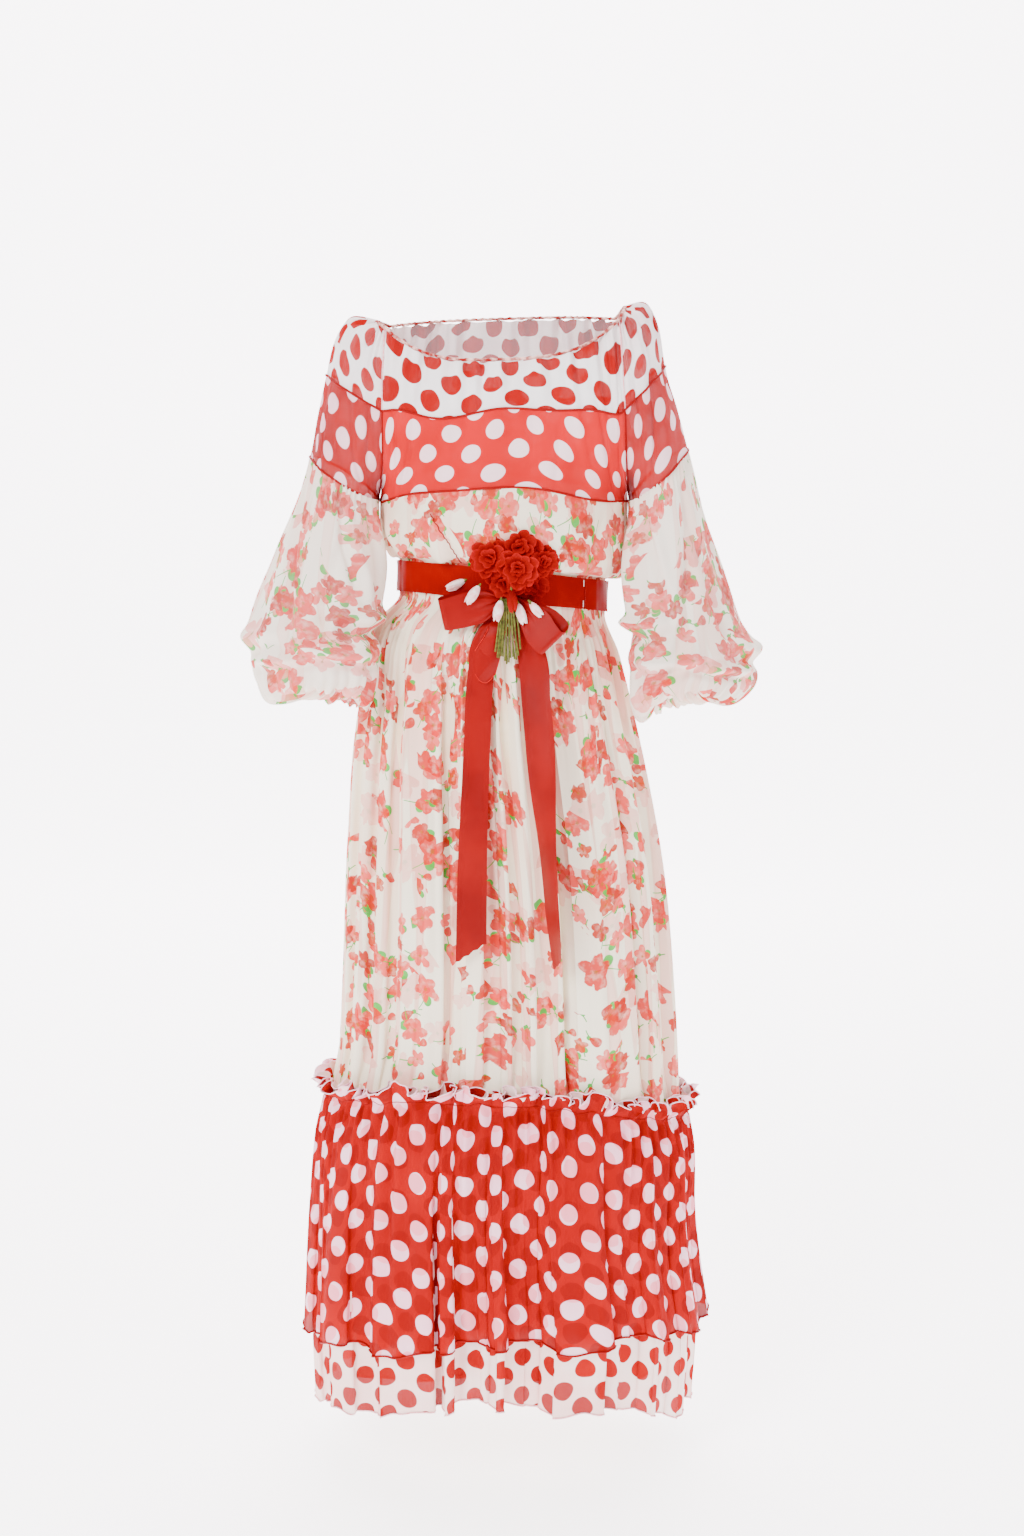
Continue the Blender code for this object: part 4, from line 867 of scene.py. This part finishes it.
def slip():
    """The plain slip: wide soft folds in step with its solid."""
    angle = np.radians(np.arange(221) * 360.0 / 220)
    heights = np.linspace(SLIP["height"][0], SLIP["height"][-1], 60)
    fall = np.linspace(0, 1, len(heights))[:, None]
    fold = between(SLIP, heights)["fold"]
    out = fold * 0.8 * np.cos(SLIP_FOLDS * angle) - fold - SHEET_INSET - 0.0070 * ramp(fall, 0.7, 1.0)
    x, y = swollen(SLIP, heights, angle, out)
    grid = points(x, y, waist_height(x, y) * (1 - fall) + level_height(SLIP_HEM, angle) * fall)
    waist = grid[0]
    rings = [points(waist[:, 0] * wide, waist[:, 1] * deep, waist_height(waist[:, 0], waist[:, 1]) + rise)
             for rise, wide, deep in SLIP_BODICE]
    upper = smooth(np.linspace(0, 1, 20), np.linspace(0, 1, len(rings)), rings)
    hem = trim("slip_hem_edge", "slip", [grid[-1, :-1]], 0.0009, closed=True)
    ring_sheet("slip_lower", "slip", grid, 50, ["slip_skirt"], ["slip_bodice"], (1.10, 1.06), held="hung",
               with_pieces=[hem])
    ring_sheet("slip_upper", "slip", upper, 5, ["slip_bodice"], ["slip_skirt"], (0.78, 0.11), held="stretched")


# ---------------------------------------------------------------- shoulders, sleeves and bodice
def sleeve_ring(side, stations, turns, clearance=True):
    """Points of a shoulder and sleeve: part of an ellipse from seam to seam over its outer point."""
    size = between(SLEEVES, stations)
    angle = np.radians(size["angle"])
    outer, seam = (np.hstack([size[f"{edge}_{axis}{side}"] for axis in "xz"]) for edge in ("outer", "seam"))
    if clearance:
        seam[:, 0] += UNDERARM_CLEARANCE * np.clip(np.asarray(stations) - 1.0, 0, 1)
    reach = (outer - seam) / (1 - np.cos(angle))
    middle = outer - reach
    t = angle * turns
    x, z = (middle[:, i : i + 1] + reach[:, i : i + 1] * np.cos(t) for i in (0, 1))
    y = side * size["half_depth"] * np.sin(t)
    return points(side * (x + size["skew"] * y), y - size["forward"], z)


def body_grid(stations, front, count=PANEL_COLUMNS):
    """A front or back between two sleeves: x follows sin p, y goes to the middle as cos p, z with the dip."""
    size = between(BODY, stations)
    ends = np.array([-1.0, 1.0])
    right, left = (sleeve_ring(side, stations, ends, clearance=False) for side in (-1, 1))
    first, last = (right[:, 1], left[:, 0]) if front else (left[:, 1], right[:, 0])
    end = np.radians(size["square"])
    p = end * np.linspace(-1, 1, count + 1)
    w = np.sin(p) / np.sin(end)
    share = (1 + w)[:, :, None] / 2
    grid = first[:, None, :] * (1 - share) + last[:, None, :] * share
    middle = (first + last) / 2
    side = "front" if front else "back"
    grid[:, :, 1] += (size[f"{side}_y"] - middle[:, 1:2]) * (np.cos(p) - np.cos(end)) / (1 - np.cos(end))
    grid[:, :, 2] += (size[f"{side}_z"] - middle[:, 2:]) * (1 - np.abs(w) ** size["dip"])
    return grid


def seam_wave(stations, across):
    """How the tier seams wander up and down: most at the yoke and band seams, and none at the raglan seams."""
    yoke = 0.0045 * sines(across, (5.2, 0.4, 1.0), (9.7, 2.0, 0.6)) - 0.002
    band = 0.0030 * sines(across, (4.1, 2.2, 1.0), (8.9, 0.5, 0.7))
    s = np.asarray(stations)[:, None]
    return (yoke * bump(s, 1.0, 0.5) + band * bump(s, 2.0, 0.5)) * (1 - np.abs(across) ** 6)


def tier_push(stations, a, seed, neck):
    """Gathers that run down from the neck and fade, soft waves, and the listed creases."""
    s = stations[:, None]
    waves = np.sin(34 * a + sines(a, (5, seed, 2.0), (9, seed * 2, 1.2)))
    small = np.sin(61 * a + sines(a, (7, seed, 1.5), (13, 1.0, 1.0)))
    push = neck * (0.0036 * waves + 0.0020 * small) * np.exp(-((s / 0.8) ** 2))
    push += 0.0011 * np.sin(19 * a + seed + 1.2 * s) * ramp(s, 0.2, 1.0)
    for at, middle, lean, width, length, depth in FRONT_CREASES:
        push -= depth * bump(a, at + lean * (s - middle), width) * bump(s, middle, length)
    return push * np.clip((1 - np.abs(a)) * 14, 0, 1)


def upper_tiers():
    """The yoke and band tiers in four pieces each, with their stitched seams."""
    sheets, raglan = [], {}
    for tier, stations, offset, body_flat, sleeve_flat in (
        ("yoke", np.linspace(0.0, 1.0, 26), 0.021, (0.36, 0.075), (0.22, 0.10)),
        ("band", np.linspace(1.0, 2.0, 30), 0.009, (0.37, 0.11), (0.34, 0.11)),
    ):
        last = len(stations) - 1
        for part, seed in (("front", 1.1), ("back", 2.6)):
            grid = body_grid(stations, part == "front")
            grid[:, :, 2] += seam_wave(stations, ACROSS)
            grid = creased(grid, False, tier_push(stations, ACROSS, seed, 1.0))
            uv = cloth_uv(grid, last) + np.array([0.013, offset])
            uv = slanted(puckered(uv, 0.0042, 0.05), 0.2, 0.004, 1.7) if tier == "yoke" else slanted(uv, 0.25, 0.004, 0.8)
            sheets.append((f"{tier}_{part}", tier, grid, uv, body_flat))
        for part, side in (("sleeve_right", -1), ("sleeve_left", 1)):
            across = np.linspace(-1, 1, SLEEVE_COLUMNS + 1)
            grid = sleeve_ring(side, stations, across)
            grid = creased(grid, False, tier_push(stations, across, 0.3 + side, 0.8))
            uv = slanted(cloth_uv(grid, last) + np.array([0.02, 0.031]), 0.3, 0.004, 2.1)
            sheets.append((f"{tier}_{part}", f"{tier}_sleeve", grid, uv, sleeve_flat))
            raglan.setdefault(tier, []).extend([grid[:, 0], grid[:, -1]])
    trim("raglan_seams_band", "thread", raglan["band"], 0.0012, lift=0.0)
    trim("raglan_seams_yoke", "hem", raglan["yoke"], 0.0010, lift=0.0)
    stitched = [trim("tier_seams", "thread", [grid[-1] for _, _, grid, _, _ in sheets], 0.0014)]
    for name, finish, grid, uv, flat in sheets:
        sheet(f"{name}_sheet", finish, grid, uv, [name], ["neck_binding"], flat, with_pieces=stitched)
        stitched = []


def neck_binding():
    """The narrow elastic binding, puckered along its length."""
    count = 120
    stations, turns = (0.0, 0.1), np.linspace(-1, 1, count + 1)
    ring = np.concatenate([grid[:, :-1] for grid in (
        body_grid(stations, True, count), sleeve_ring(1, stations, turns),
        body_grid(stations, False, count), sleeve_ring(-1, stations, turns))], axis=1)
    rise = unit(unit(ring[0] - ring[1]) + np.array([0.0, 0.0, 1.0]))
    along = np.arange(4 * count) * 2 * np.pi / (4 * count)
    pucker = 0.0004 * np.sin(150 * along + 3 * np.sin(7 * along))
    radius = 0.0018 + 0.0003 * np.sin(130 * along + 2 * np.sin(9 * along))
    path = ring[0] + rise * (0.0026 + pucker)[:, None]
    bundle("neck_elastic", "binding", [tube_grid(path, radius, True, 8)], "neck_binding")


def sleeve_push(s, a, side):
    """Gathers toward the foot, long waves, creases, swags, and the full front edge of a balloon sleeve."""
    seed = 0.7 + side
    wave = np.sin(29 * np.pi * a + sines(np.pi * a, (3, seed, 1.6), (5, seed * 2, 1.2)))
    fine = np.sin(47 * np.pi * a + sines(np.pi * a, (4, seed, 1.8), (7, 1.0, 1.0)))
    push = 0.0034 * wave * ramp(s, 4.1, 4.9) + 0.0018 * fine * ramp(s, 4.3, 5.0)
    push += 0.0026 * np.sin(11 * np.pi * a + seed + 0.8 * s) * ramp(s, 2.1, 3.4)
    push += 0.0016 * fine * (1 - ramp(s, 2.0, 2.5))
    for at, middle, lean, width, length, depth in SLEEVE_CREASES:
        line = at * side + lean * (s - middle)
        fold = 1.1 * bump(a, line + 2.1 * width, width * 1.2) - 1.9 * bump(a, line, width)
        push += depth * fold * bump(s, middle, length)
    for at, middle, curve, width, length, depth in SWAGS:
        line = middle - curve * (a - at * side) ** 2
        fold = bump(s, line, width) - 0.8 * bump(s, line + 1.8 * width, width)
        push += 1.4 * depth * fold * bump(a, at * side, length)
    push += 0.0110 * bump(-side * a, 0.76, 0.15) * bump(s, 2.95, 0.75)
    return push + 0.0120 * bump(-side * a, 0.86, 0.09) * bump(s, 2.70, 0.60)


def balloon_sleeves():
    """The full sleeves, their front lower edges raised, and the elastic casings inside their feet."""
    a = np.linspace(-1, 1, SLEEVE_COLUMNS + 1)[:-1]
    stations = np.concatenate([np.linspace(2.0, 4.5, 70), np.linspace(4.52, 5.2, 22)])
    s = stations[:, None]
    for part, side, shift in (("right", -1, 0.0), ("left", 1, 0.4)):
        sleeve, cuff = f"balloon_sleeve_{part}", f"cuff_{part}"
        grid = creased(sleeve_ring(side, stations, a), True, sleeve_push(s, a, side))
        forward = np.clip(np.sin(-np.pi * side * a), 0, 1)
        grid[:, :, 2] += 0.030 * forward * ramp(s, 3.3, 4.6) * (1 - 0.5 * ramp(s, 4.8, 5.2))
        uv = cloth_uv(wrapped(grid), 62) + np.array([shift, 0.0])
        sheet(f"{sleeve}_sheet", "sleeve", grid, uv, [sleeve], [cuff], (0.52, 0.34), closed=True)
        casing = grid[-1] + np.array([0.0, 0.0, CUFF_DEPTH]) * np.linspace(0, 1, 5)[:, None, None]
        sheet(f"{cuff}_sheet", "sleeve", casing, cloth_uv(wrapped(casing), 0), [cuff], [sleeve],
              (0.50, 0.0105), closed=True)


def bodice_rows(front):
    """The part's rows of the bodice: seam, three rows of the blousing, and the tuck behind the belt."""
    turn, depth, side = (1, -WAIST_DEPTH, "front_y") if front else (-1, WAIST_DEPTH, "back_y")
    seam = body_grid((2.0,), front)[0]
    seam[:, 2] += seam_wave((2.0,), ACROSS)[0]
    p = ACROSS * (np.pi / 2)

    def ring(right_x, left_x, middle_y):
        return (left_x - right_x) / 2 + turn * (left_x + right_x) / 2 * np.sin(p), middle_y * np.cos(p)

    rows = [seam]
    ripple = 0.0011 * sines(ACROSS, (23.0, 0.4, 1.0), (41.0, 1.7, 0.7)) * (1 - np.abs(ACROSS) ** 8)
    for fall, *size in list(zip(*(BODICE[name] for name in ("fall", "right_x", "left_x", side))))[1:]:
        x, y = ring(*size)
        z = seam[:, 2] * (1 - fall) + (waist_height(x, y) + BELT_WIDTH / 2 + 0.006) * fall
        rows.append(points(x, y, z + ripple * fall ** 2))
    for rise, swell in ((BELT_WIDTH / 2 + 0.0035, 0.0035), (BELT_WIDTH / 2 + 0.0016, 0.0), (0.0, 0.0)):
        out = swell - SHEET_INSET
        x, y = ring(WAIST_RIGHT + out, WAIST_LEFT + out, depth + np.sign(depth) * out)
        rows.append(points(x, y, waist_height(x, y) + rise + 0.3 * ripple * (rise > 0)))
    return np.array(rows)


def bodice():
    """The bloused bodice, with a fine tuck's red line on its front."""
    a, known = ACROSS, np.array([0.0, 0.4, 0.8, 1.0, 1.16, 1.22, 1.40])
    t = np.concatenate([np.linspace(0, 1, 44), np.linspace(1.015, 1.40, 22)])
    f = t[:, None]
    for part, turn, seed, shift in (("front", 1, 0.5, 0.0), ("back", -1, 1.9, 0.7)):
        grid = smooth(t, known, bodice_rows(part == "front"))
        waves = np.sin(43 * a + sines(a, (5, seed, 2.0), (11, 1.0, 1.0)))
        push = 0.0022 * waves * ramp(f, 0.62, 1.0) * (1 - ramp(f, 1.0, 1.14))
        push += 0.0020 * np.sin(17 * a + seed + 1.5 * f) * ramp(f, 0.05, 0.5) * (1 - ramp(f, 1.0, 1.15))
        for at, middle, lean, width, length, depth in BODICE_CREASES:
            where = at * turn + lean * (f - middle)
            fold = bump(a, where, width) - 0.5 * bump(a, where + 2.2 * width, 1.3 * width)
            push -= depth * fold * bump(f, middle, length) * (1 - ramp(f, 0.92, 1.06))
        grid = creased(grid, False, push * np.clip((1 - np.abs(a)) * 14, 0, 1))
        if part == "front":
            step = np.linspace(0, 1, 24)[:, None, None]
            apart = (grid[..., 0] + 0.086 - 0.036 * step) ** 2 + (grid[..., 2] + 0.212 + 0.059 * step) ** 2
            tuck = grid.reshape(-1, 3)[apart.reshape(24, -1).argmin(axis=1)] - np.array([0.0, 0.0006, 0.0])
        uv = cloth_uv(grid, 25) * np.array([1.12, 1.0]) + np.array([shift, 0.1])
        sheet(f"bodice_{part}_sheet", "bodice", grid, uv, [f"bodice_{part}"], ["belt"], (0.38, 0.17))
    trim("bodice_tuck_line", "thread", [smooth(np.linspace(0, 23, 60), np.arange(24.0), tuck)], 0.0006)


# ---------------------------------------------------------------- belt, bow and posy
def belt():
    """The ribbon belt: pulled taut, with faint upright buckles, its end lapped over in front."""
    degrees = np.linspace(-53.0, 319.0, 420)
    angle = np.radians(degrees)
    row = np.linspace(1, -1, 13)[:, None]
    out = 0.0027 + 0.0016 * np.clip((degrees - 289.0) / 18.0, 0, 1)
    buckle = 0.0005 * sines(angle, (23, 0.6, 1.0), (37, 2.0, 0.6), (61, 1.0, 0.3))
    lean = 0.0008 * sines(angle, (9, 0.2, 1.0), (17, 1.4, 0.7))
    push = out + buckle * (0.35 + 0.65 * row ** 2) + lean * row
    x, y = oval(angle, WAIST_RIGHT, WAIST_LEFT, WAIST_DEPTH, push)
    grid = points(x, y, waist_height(x, y) + row * BELT_WIDTH / 2 * (1 - 0.015 * np.sin(7 * angle)))
    fold = trim("belt_end_fold", "ribbon", [grid[:, -1] * (1 + 0.004 * FLAT)], 0.0008)
    half_tick = np.array([0.0, 0.0, 0.0040])
    marks = []
    for point in grid[[2, 10], -3]:
        middle = point + unit(point * FLAT) * 0.0012
        marks.append(np.linspace(middle + half_tick, middle - half_tick, 4))
    ticks = trim("belt_ticks", "tick", marks, 0.0006)
    sheet("ribbon_belt", "belt", grid, cloth_uv(grid, 6), ["belt"], ["skirt_front", "bodice_front"],
          (0.78, 0.038), "stretched", with_pieces=[fold, ticks])


def loops():
    """The bow's loops: out from the knot, round the tip and back, with creases that fan from the pinch."""
    for part, (root, root_spread, tip_at, half_open, forward, pinch, turned) in LOOPS.items():
        name = f"bow_loop_{part}"
        way = np.array(tip_at) - root
        half_open *= 1.0 if turned > 0 else 1.5
        length = np.linalg.norm(way) - half_open
        along = unit(way)
        across = np.array([-along[1], along[0]])
        steps = np.linspace(0, 1, 26)
        tip = np.linspace(-np.pi / 2, np.pi / 2, 14)[1:-1]
        out = np.concatenate([steps * length, length + half_open * np.cos(tip), steps[::-1] * length])
        side = root_spread + (half_open - root_spread) * steps
        spread = np.concatenate([-side, half_open * np.sin(tip), side[::-1]])
        opened = np.clip(out / (pinch * length), 0, 1)
        opened = opened * (2 - opened) * 0.5 + opened * 0.5
        half_width = RIBBON_HALF_WIDTH * (0.22 + 0.78 * opened)
        share = np.linspace(1, -1, 17)[:, None]
        near = 1 - ramp(out, 0.0, 0.75 * length)
        fan = (0.0028 * np.sin(8.5 * share + 0.6) + 0.0014 * np.sin(17 * share)) * near
        bow_out = 0.0022 * (1 - share ** 2) * ramp(out, 0.1 * length, 0.8 * length)
        y = KNOT_Y + spread - forward * out / length + fan * 0.8 + np.sign(spread) * bow_out * 0.5
        bend = 0.0016 * np.sin(np.pi * out / length) * share
        bend = bend - turned * spread * ramp(out, 0.2 * length, 0.9 * length)
        x, z = (root[i] + out * along[i] + (share * half_width + bend) * across[i] for i in (0, 1))
        grid = points(x, y, z)
        sheet(f"{name}_ribbon", "ribbon", grid, cloth_uv(grid, 8), [name], ["bow_knot"], (0.15, 0.037), "folded")


def knot():
    """The knot: a band of ribbon wrapped round the loops, with lengthwise tucks."""
    angle = np.linspace(0, 2 * np.pi, 65)
    share = np.linspace(-1, 1, 21)[:, None]
    swell = 1.0 - 0.18 * share ** 2 + 0.035 * np.sin(9 * share + 0.5) + 0.02 * np.sin(3 * angle + 4 * share)
    grid = points(KNOT_X + share * KNOT_HALF_WIDTH, KNOT_Y + KNOT_HALF_DEPTH * swell * np.cos(angle),
                  KNOT_Z + KNOT_HALF_HEIGHT * swell * np.sin(angle))
    sheet("bow_knot_ribbon", "ribbon", grid[:, :-1], cloth_uv(grid, 10), ["bow_knot"], ["belt"],
          (0.075, 0.019), "folded", closed=True)


def skirt_front(height):
    """How far forward the skirt's front stands at a height."""
    top = waist_height(0.0, -WAIST_DEPTH)
    foot = SKIRT_SEAM[0] + SKIRT_SEAM[2]
    return np.interp((height - top) / (foot - top), SKIRT["fall"], SKIRT["half_depth"])


def tails():
    """The ribbon's hanging ends, with slow bends, soft buckles and slanting cut ends."""
    down = np.linspace(0, 1, 120)[:, None] ** 1.4
    share = np.linspace(-1, 1, 15)
    cut = 0.012
    for part, seed in (("right", 0.3), ("left", 1.8)):
        name, rows = f"bow_tail_{part}", TAILS[part]
        top, foot = rows["height"][[0, -1]]
        heights = top + (foot - top) * down
        size = between(rows, heights[:, 0])
        turn = np.radians(size["turn"] + 3.0 * np.sin(14 * down + seed) * ramp(down, 0.02, 0.15))
        half_width = RIBBON_HALF_WIDTH * size["width"]
        lifted = 0.0012 + 0.0040 * ramp(down, 0.0, 0.06)
        middle_y = -(skirt_front(heights) + lifted + half_width * np.abs(np.sin(turn)))
        tied = 1 - ramp(down, 0.0, 0.03)
        middle_y = middle_y * (1 - tied) + (KNOT_Y + 0.0038) * tied
        cup = 0.0016 * np.sin(9 * down + seed) * (share ** 2 - 0.4)
        cup = cup + 0.0016 * (1 - ramp(down, 0.0, 0.16)) * np.sin(7.0 * share + seed)
        x = size["middle_x"] + share * half_width * np.cos(turn) - cup * np.sin(turn)
        y = middle_y + share * half_width * np.sin(turn) - np.abs(cup * np.cos(turn))
        grid = points(x, y, heights + share * cut * down ** 6 + 0.0012 * np.sin(11 * share) * down ** 30)
        sheet(f"{name}_ribbon", "ribbon", grid, ribbon_uv(grid), [name], ["bow_knot", "skirt_front"],
              (0.43, 0.036), "hung")


def doubling():
    """The short end of the ribbon that lies doubled on the long one, with a rounded foot and a painted highlight
    along its rim.
    """
    s = np.linspace(0, 1, 40)[:, None]
    t = np.linspace(-1, 1, 15)
    heights = -0.336 - s * (0.075 - 0.010 * t ** 2 + 0.006 * t)
    half = 0.0090 + 0.0065 * ramp(s, 0.0, 0.8)
    x = -0.0055 - 0.0200 * ramp(s, 0.0, 1.1) + half * t * (1 - 0.25 * ramp(s, 0.90, 1.0))
    y = -(skirt_front(heights) + 0.0075 + 0.0022 * np.sin(7 * s + 1.2 * t) + 0.0012 * (1 - t ** 2))
    tied = 1 - ramp(s, 0.0, 0.15)
    grid = points(x, y * (1 - tied) + (KNOT_Y + 0.0010) * tied, heights)
    # A thin lighter red tube along the rim of the doubled end: a painted highlight.
    rim = np.concatenate([grid[8:, 0], grid[-1, 1:-1], grid[8:, -1][::-1]]) - np.array([0.0, 0.0004, 0.0])
    edge = trim("bow_tail_right_edge", "painted_rim_highlight", [rim], 0.0005)
    sheet("bow_tail_right_doubling", "ribbon", grid, ribbon_uv(grid), [], ["bow_tail_right"],
          (0.077, 0.033), "hung", with_pieces=[edge])


def petal(centre, axis, turn, lift, size, seed):
    """One silk petal: a heart-shaped sheet from the bloom's middle, cupped, with a wavy rim.

    Along it s runs from 0 to 1 and across it t from -1 to 1. Its half-width is a half sine, it rises
    by lift and curls back at the tip, and its edges rise with t squared.
    """
    s = np.linspace(0, 1, 9)[:, None]
    t = np.linspace(-1, 1, 9)
    wide = 0.68 * np.sin(np.pi * (0.10 + 0.78 * s)) ** 0.7 * s ** 0.30
    reach = s * (1 - 0.10 * bump(t, 0.0, 0.35) * ramp(s, 0.7, 1.0))
    out = reach * np.cos(lift * (1 - 0.25 * s))
    up = reach * np.sin(lift) * (1 - 0.30 * s ** 2) + 0.22 * wide * t ** 2 + 0.05 * np.sin(7 * t + seed) * s ** 3
    first = unit(np.cross(axis, (0.3, 0.2, 1.0)))
    second = np.cross(axis, first)
    frame_axes = np.array([np.cos(turn) * first + np.sin(turn) * second,
                           np.cos(turn) * second - np.sin(turn) * first, axis])
    return np.array(centre) + size * points(out, wide * t, up) @ frame_axes


# The rings of petals of a bloom: how many, how steep, how long.
PETAL_RINGS = ((5, 0.12, 1.0), (4, 0.55, 0.84), (3, 1.10, 0.56), (2, 1.42, 0.36))


def blooms():
    """The posy's blooms, each of four rings of petals."""
    for i, (x, z, radius, back_y, wide) in enumerate(BLOOMS):
        grids = []
        axis = unit(np.array([(x - 0.015) * 9.0, -1.0, (z + 0.272) * 9.0]))
        for ring, (count, lift, reach) in enumerate(PETAL_RINGS):
            for k in range(count):
                turn = 2 * np.pi * (k / count) + 0.7 * i + 0.5 * ring + 0.12 * np.sin(5 * k + i)
                size = radius * wide * reach * (1.0 + 0.14 * np.sin(3.1 * k + 1.7 * i + ring))
                centre = (x, back_y - 0.0012 - 0.0012 * ring, z)
                lifted = lift + 0.16 * np.sin(2.7 * k + 4.1 * i + 1.9 * ring)
                grids.append(petal(centre, axis, turn, lifted, size, 1.3 * k + i))
        bundle(f"bloom_{i + 1}_petals", "petal", grids, f"posy_bloom_{i + 1}")


def buds():
    """Buds of wrapped petals on short necks; the red one shows in the look alone."""
    way = np.linspace(0, 1, 15)[:, None]
    turn = np.linspace(0, 2 * np.pi, 25)
    for i, (x, z, y, slant, length) in enumerate((*WHITE_BUDS, RED_BUD)):
        lean = np.radians(slant)
        middle = np.array([x, y, z])
        along = np.array([-np.sin(lean), 0.0, -np.cos(lean)])
        across = np.array([np.cos(lean), 0.0, -np.sin(lean)])
        ring = np.cos(turn)[:, None] * across + np.sin(turn)[:, None] * np.array([0.0, -1.0, 0.0])
        flare = np.sin(np.pi * np.clip(way * 0.80 + 0.05, 0, 1)) ** 0.75
        grids = []
        for layer in range(2):
            lobes = np.cos(3 * turn + 2.1 * layer + i)
            radius = length * (0.270 - 0.045 * layer) * flare * (1 + (0.06 + 0.28 * way ** 2) * lobes)
            longer = way - 0.5 + 0.05 * layer + 0.10 * way ** 4 * (lobes + 0.4)
            grids.append(middle + along * longer[:, :, None] * length * 1.08 + radius[:, :, None] * ring)
        if i < len(WHITE_BUDS):
            bundle(f"bud_{i + 1}_petals", "bud", grids, f"posy_bud_{i + 1}")
        else:
            bundle("bud_red_petals", "petal", grids)
        base = middle - along * length * 0.5
        path = np.linspace(base - along * 0.004, base + along * 0.006, len(CUP_RADII))
        bundle(f"bud_{i + 1}_cup", "stem", [tube_grid(path, CUP_RADII, sides=10)])


def stems():
    """Fourteen thin stems tied in front of the knot, fanned and uneven at their cut ends."""
    top_y = KNOT_Y - KNOT_HALF_DEPTH - 0.0005 - 0.0010
    s = np.linspace(0, 1, 9)[:, None]
    grids = []
    for i in range(14):
        share = 2 * i / 13 - 1
        row = i % 2
        top = np.array([KNOT_X + share * 0.0070, top_y - 0.0010 * row, KNOT_Z + 0.004])
        foot = np.array([KNOT_X + share * 0.0150, top_y - 0.0062 - 0.0008 * row,
                         -0.386 + 0.011 * share ** 2 + 0.004 * np.sin(5 * i)])
        path = top + (foot - top) * s + np.array([0.0012 * np.sin(3 * i), -0.0006, 0.0]) * np.sin(np.pi * s)
        grids.append(tube_grid(path, 0.00105 + 0.00012 * np.sin(9 * s[:, 0] + i), sides=7))
    bundle("tied_stems", "stem", grids, *[f"posy_stem_{k}" for k in range(1, 8)])


# ---------------------------------------------------------------- studio
FLOOR_Z, WALL_Y, CURVE = -1.480, 4.0, 1.2
# Lights: name, place, target, size, power.
LIGHTS = (
    ("key", (-2.2, -3.2, 1.9), (0, 0, -0.7), (1.5, 2.0), 265),
    ("fill", (2.8, -2.8, 1.0), (0, 0, -0.7), (2.0, 2.6), 75),
    ("top", (0.0, 0.2, 2.6), (0, 0, -0.5), (3.0, 2.0), 85),
    ("back", (0.0, 2.3, 2.6), (0, 4.0, -0.2), (6.0, 1.2), 320),
)


def studio():
    """A pale floor that curves up into the background and glows, soft lights, and the camera."""
    foot = WALL_Y - CURVE
    profile = [(-5.0, FLOOR_Z), (foot, FLOOR_Z)]
    profile += [(foot + CURVE * np.sin(t), FLOOR_Z + CURVE - CURVE * np.cos(t)) for t in np.linspace(0.1, np.pi / 2, 12)]
    profile += [(WALL_Y, 5.0)]
    grid = np.array([[(x, y, z) for x in (-6.0, 6.0)] for y, z in profile])
    look = Look("studio_paper", 0.9)
    # The paper glows, weakly at the front and strongly behind: painted light that brightens the backdrop and
    # lights the dress from below.
    look.give(look.shader, "Emission Color", (1.0, 0.985, 0.992, 1.0))
    near = look.split(look.place())[1]
    look.give(look.shader, "Emission Strength", look.step(near, -1.4, -0.35) * 2.4 + 0.8)
    tint = look.mix(look.noise(look.place(), 0.6, 1.0), (253, 250, 252), (252, 248, 250))
    look.give(look.shader, "Base Color", tint)
    many("studio_floor", [grid[::-1]], look.material)

    scene = bpy.context.scene
    for name, place, target, size, power in LIGHTS:
        light = bpy.data.lights.new(name, "AREA")
        light.shape = "RECTANGLE"
        light.size, light.size_y = size
        light.energy = power
        made = bpy.data.objects.new(name, light)
        scene.collection.objects.link(made)
        made.location = place
        made.rotation_euler = (Vector(target) - Vector(place)).to_track_quat("-Z", "Y").to_euler()
    world = bpy.data.worlds.new("studio")
    world.use_nodes = True
    background = world.node_tree.nodes["Background"]
    background.inputs["Color"].default_value = (1.0, 0.985, 0.99, 1.0)
    background.inputs["Strength"].default_value = 0.75
    scene.world = world

    data = bpy.data.cameras.new("camera")
    data.lens = 50.0
    data.sensor_fit = "VERTICAL"
    data.sensor_height = 36.0
    camera = bpy.data.objects.new("camera", data)
    scene.collection.objects.link(camera)
    camera.location = (0.011, -2.65, 0.02)
    camera.rotation_euler = (np.radians(78.0), 0.0, 0.0)
    scene.camera = camera


studio()
skirts()
slip()
upper_tiers()
neck_binding()
balloon_sleeves()
bodice()
belt()
loops()
knot()
tails()
doubling()
blooms()
buds()
stems()
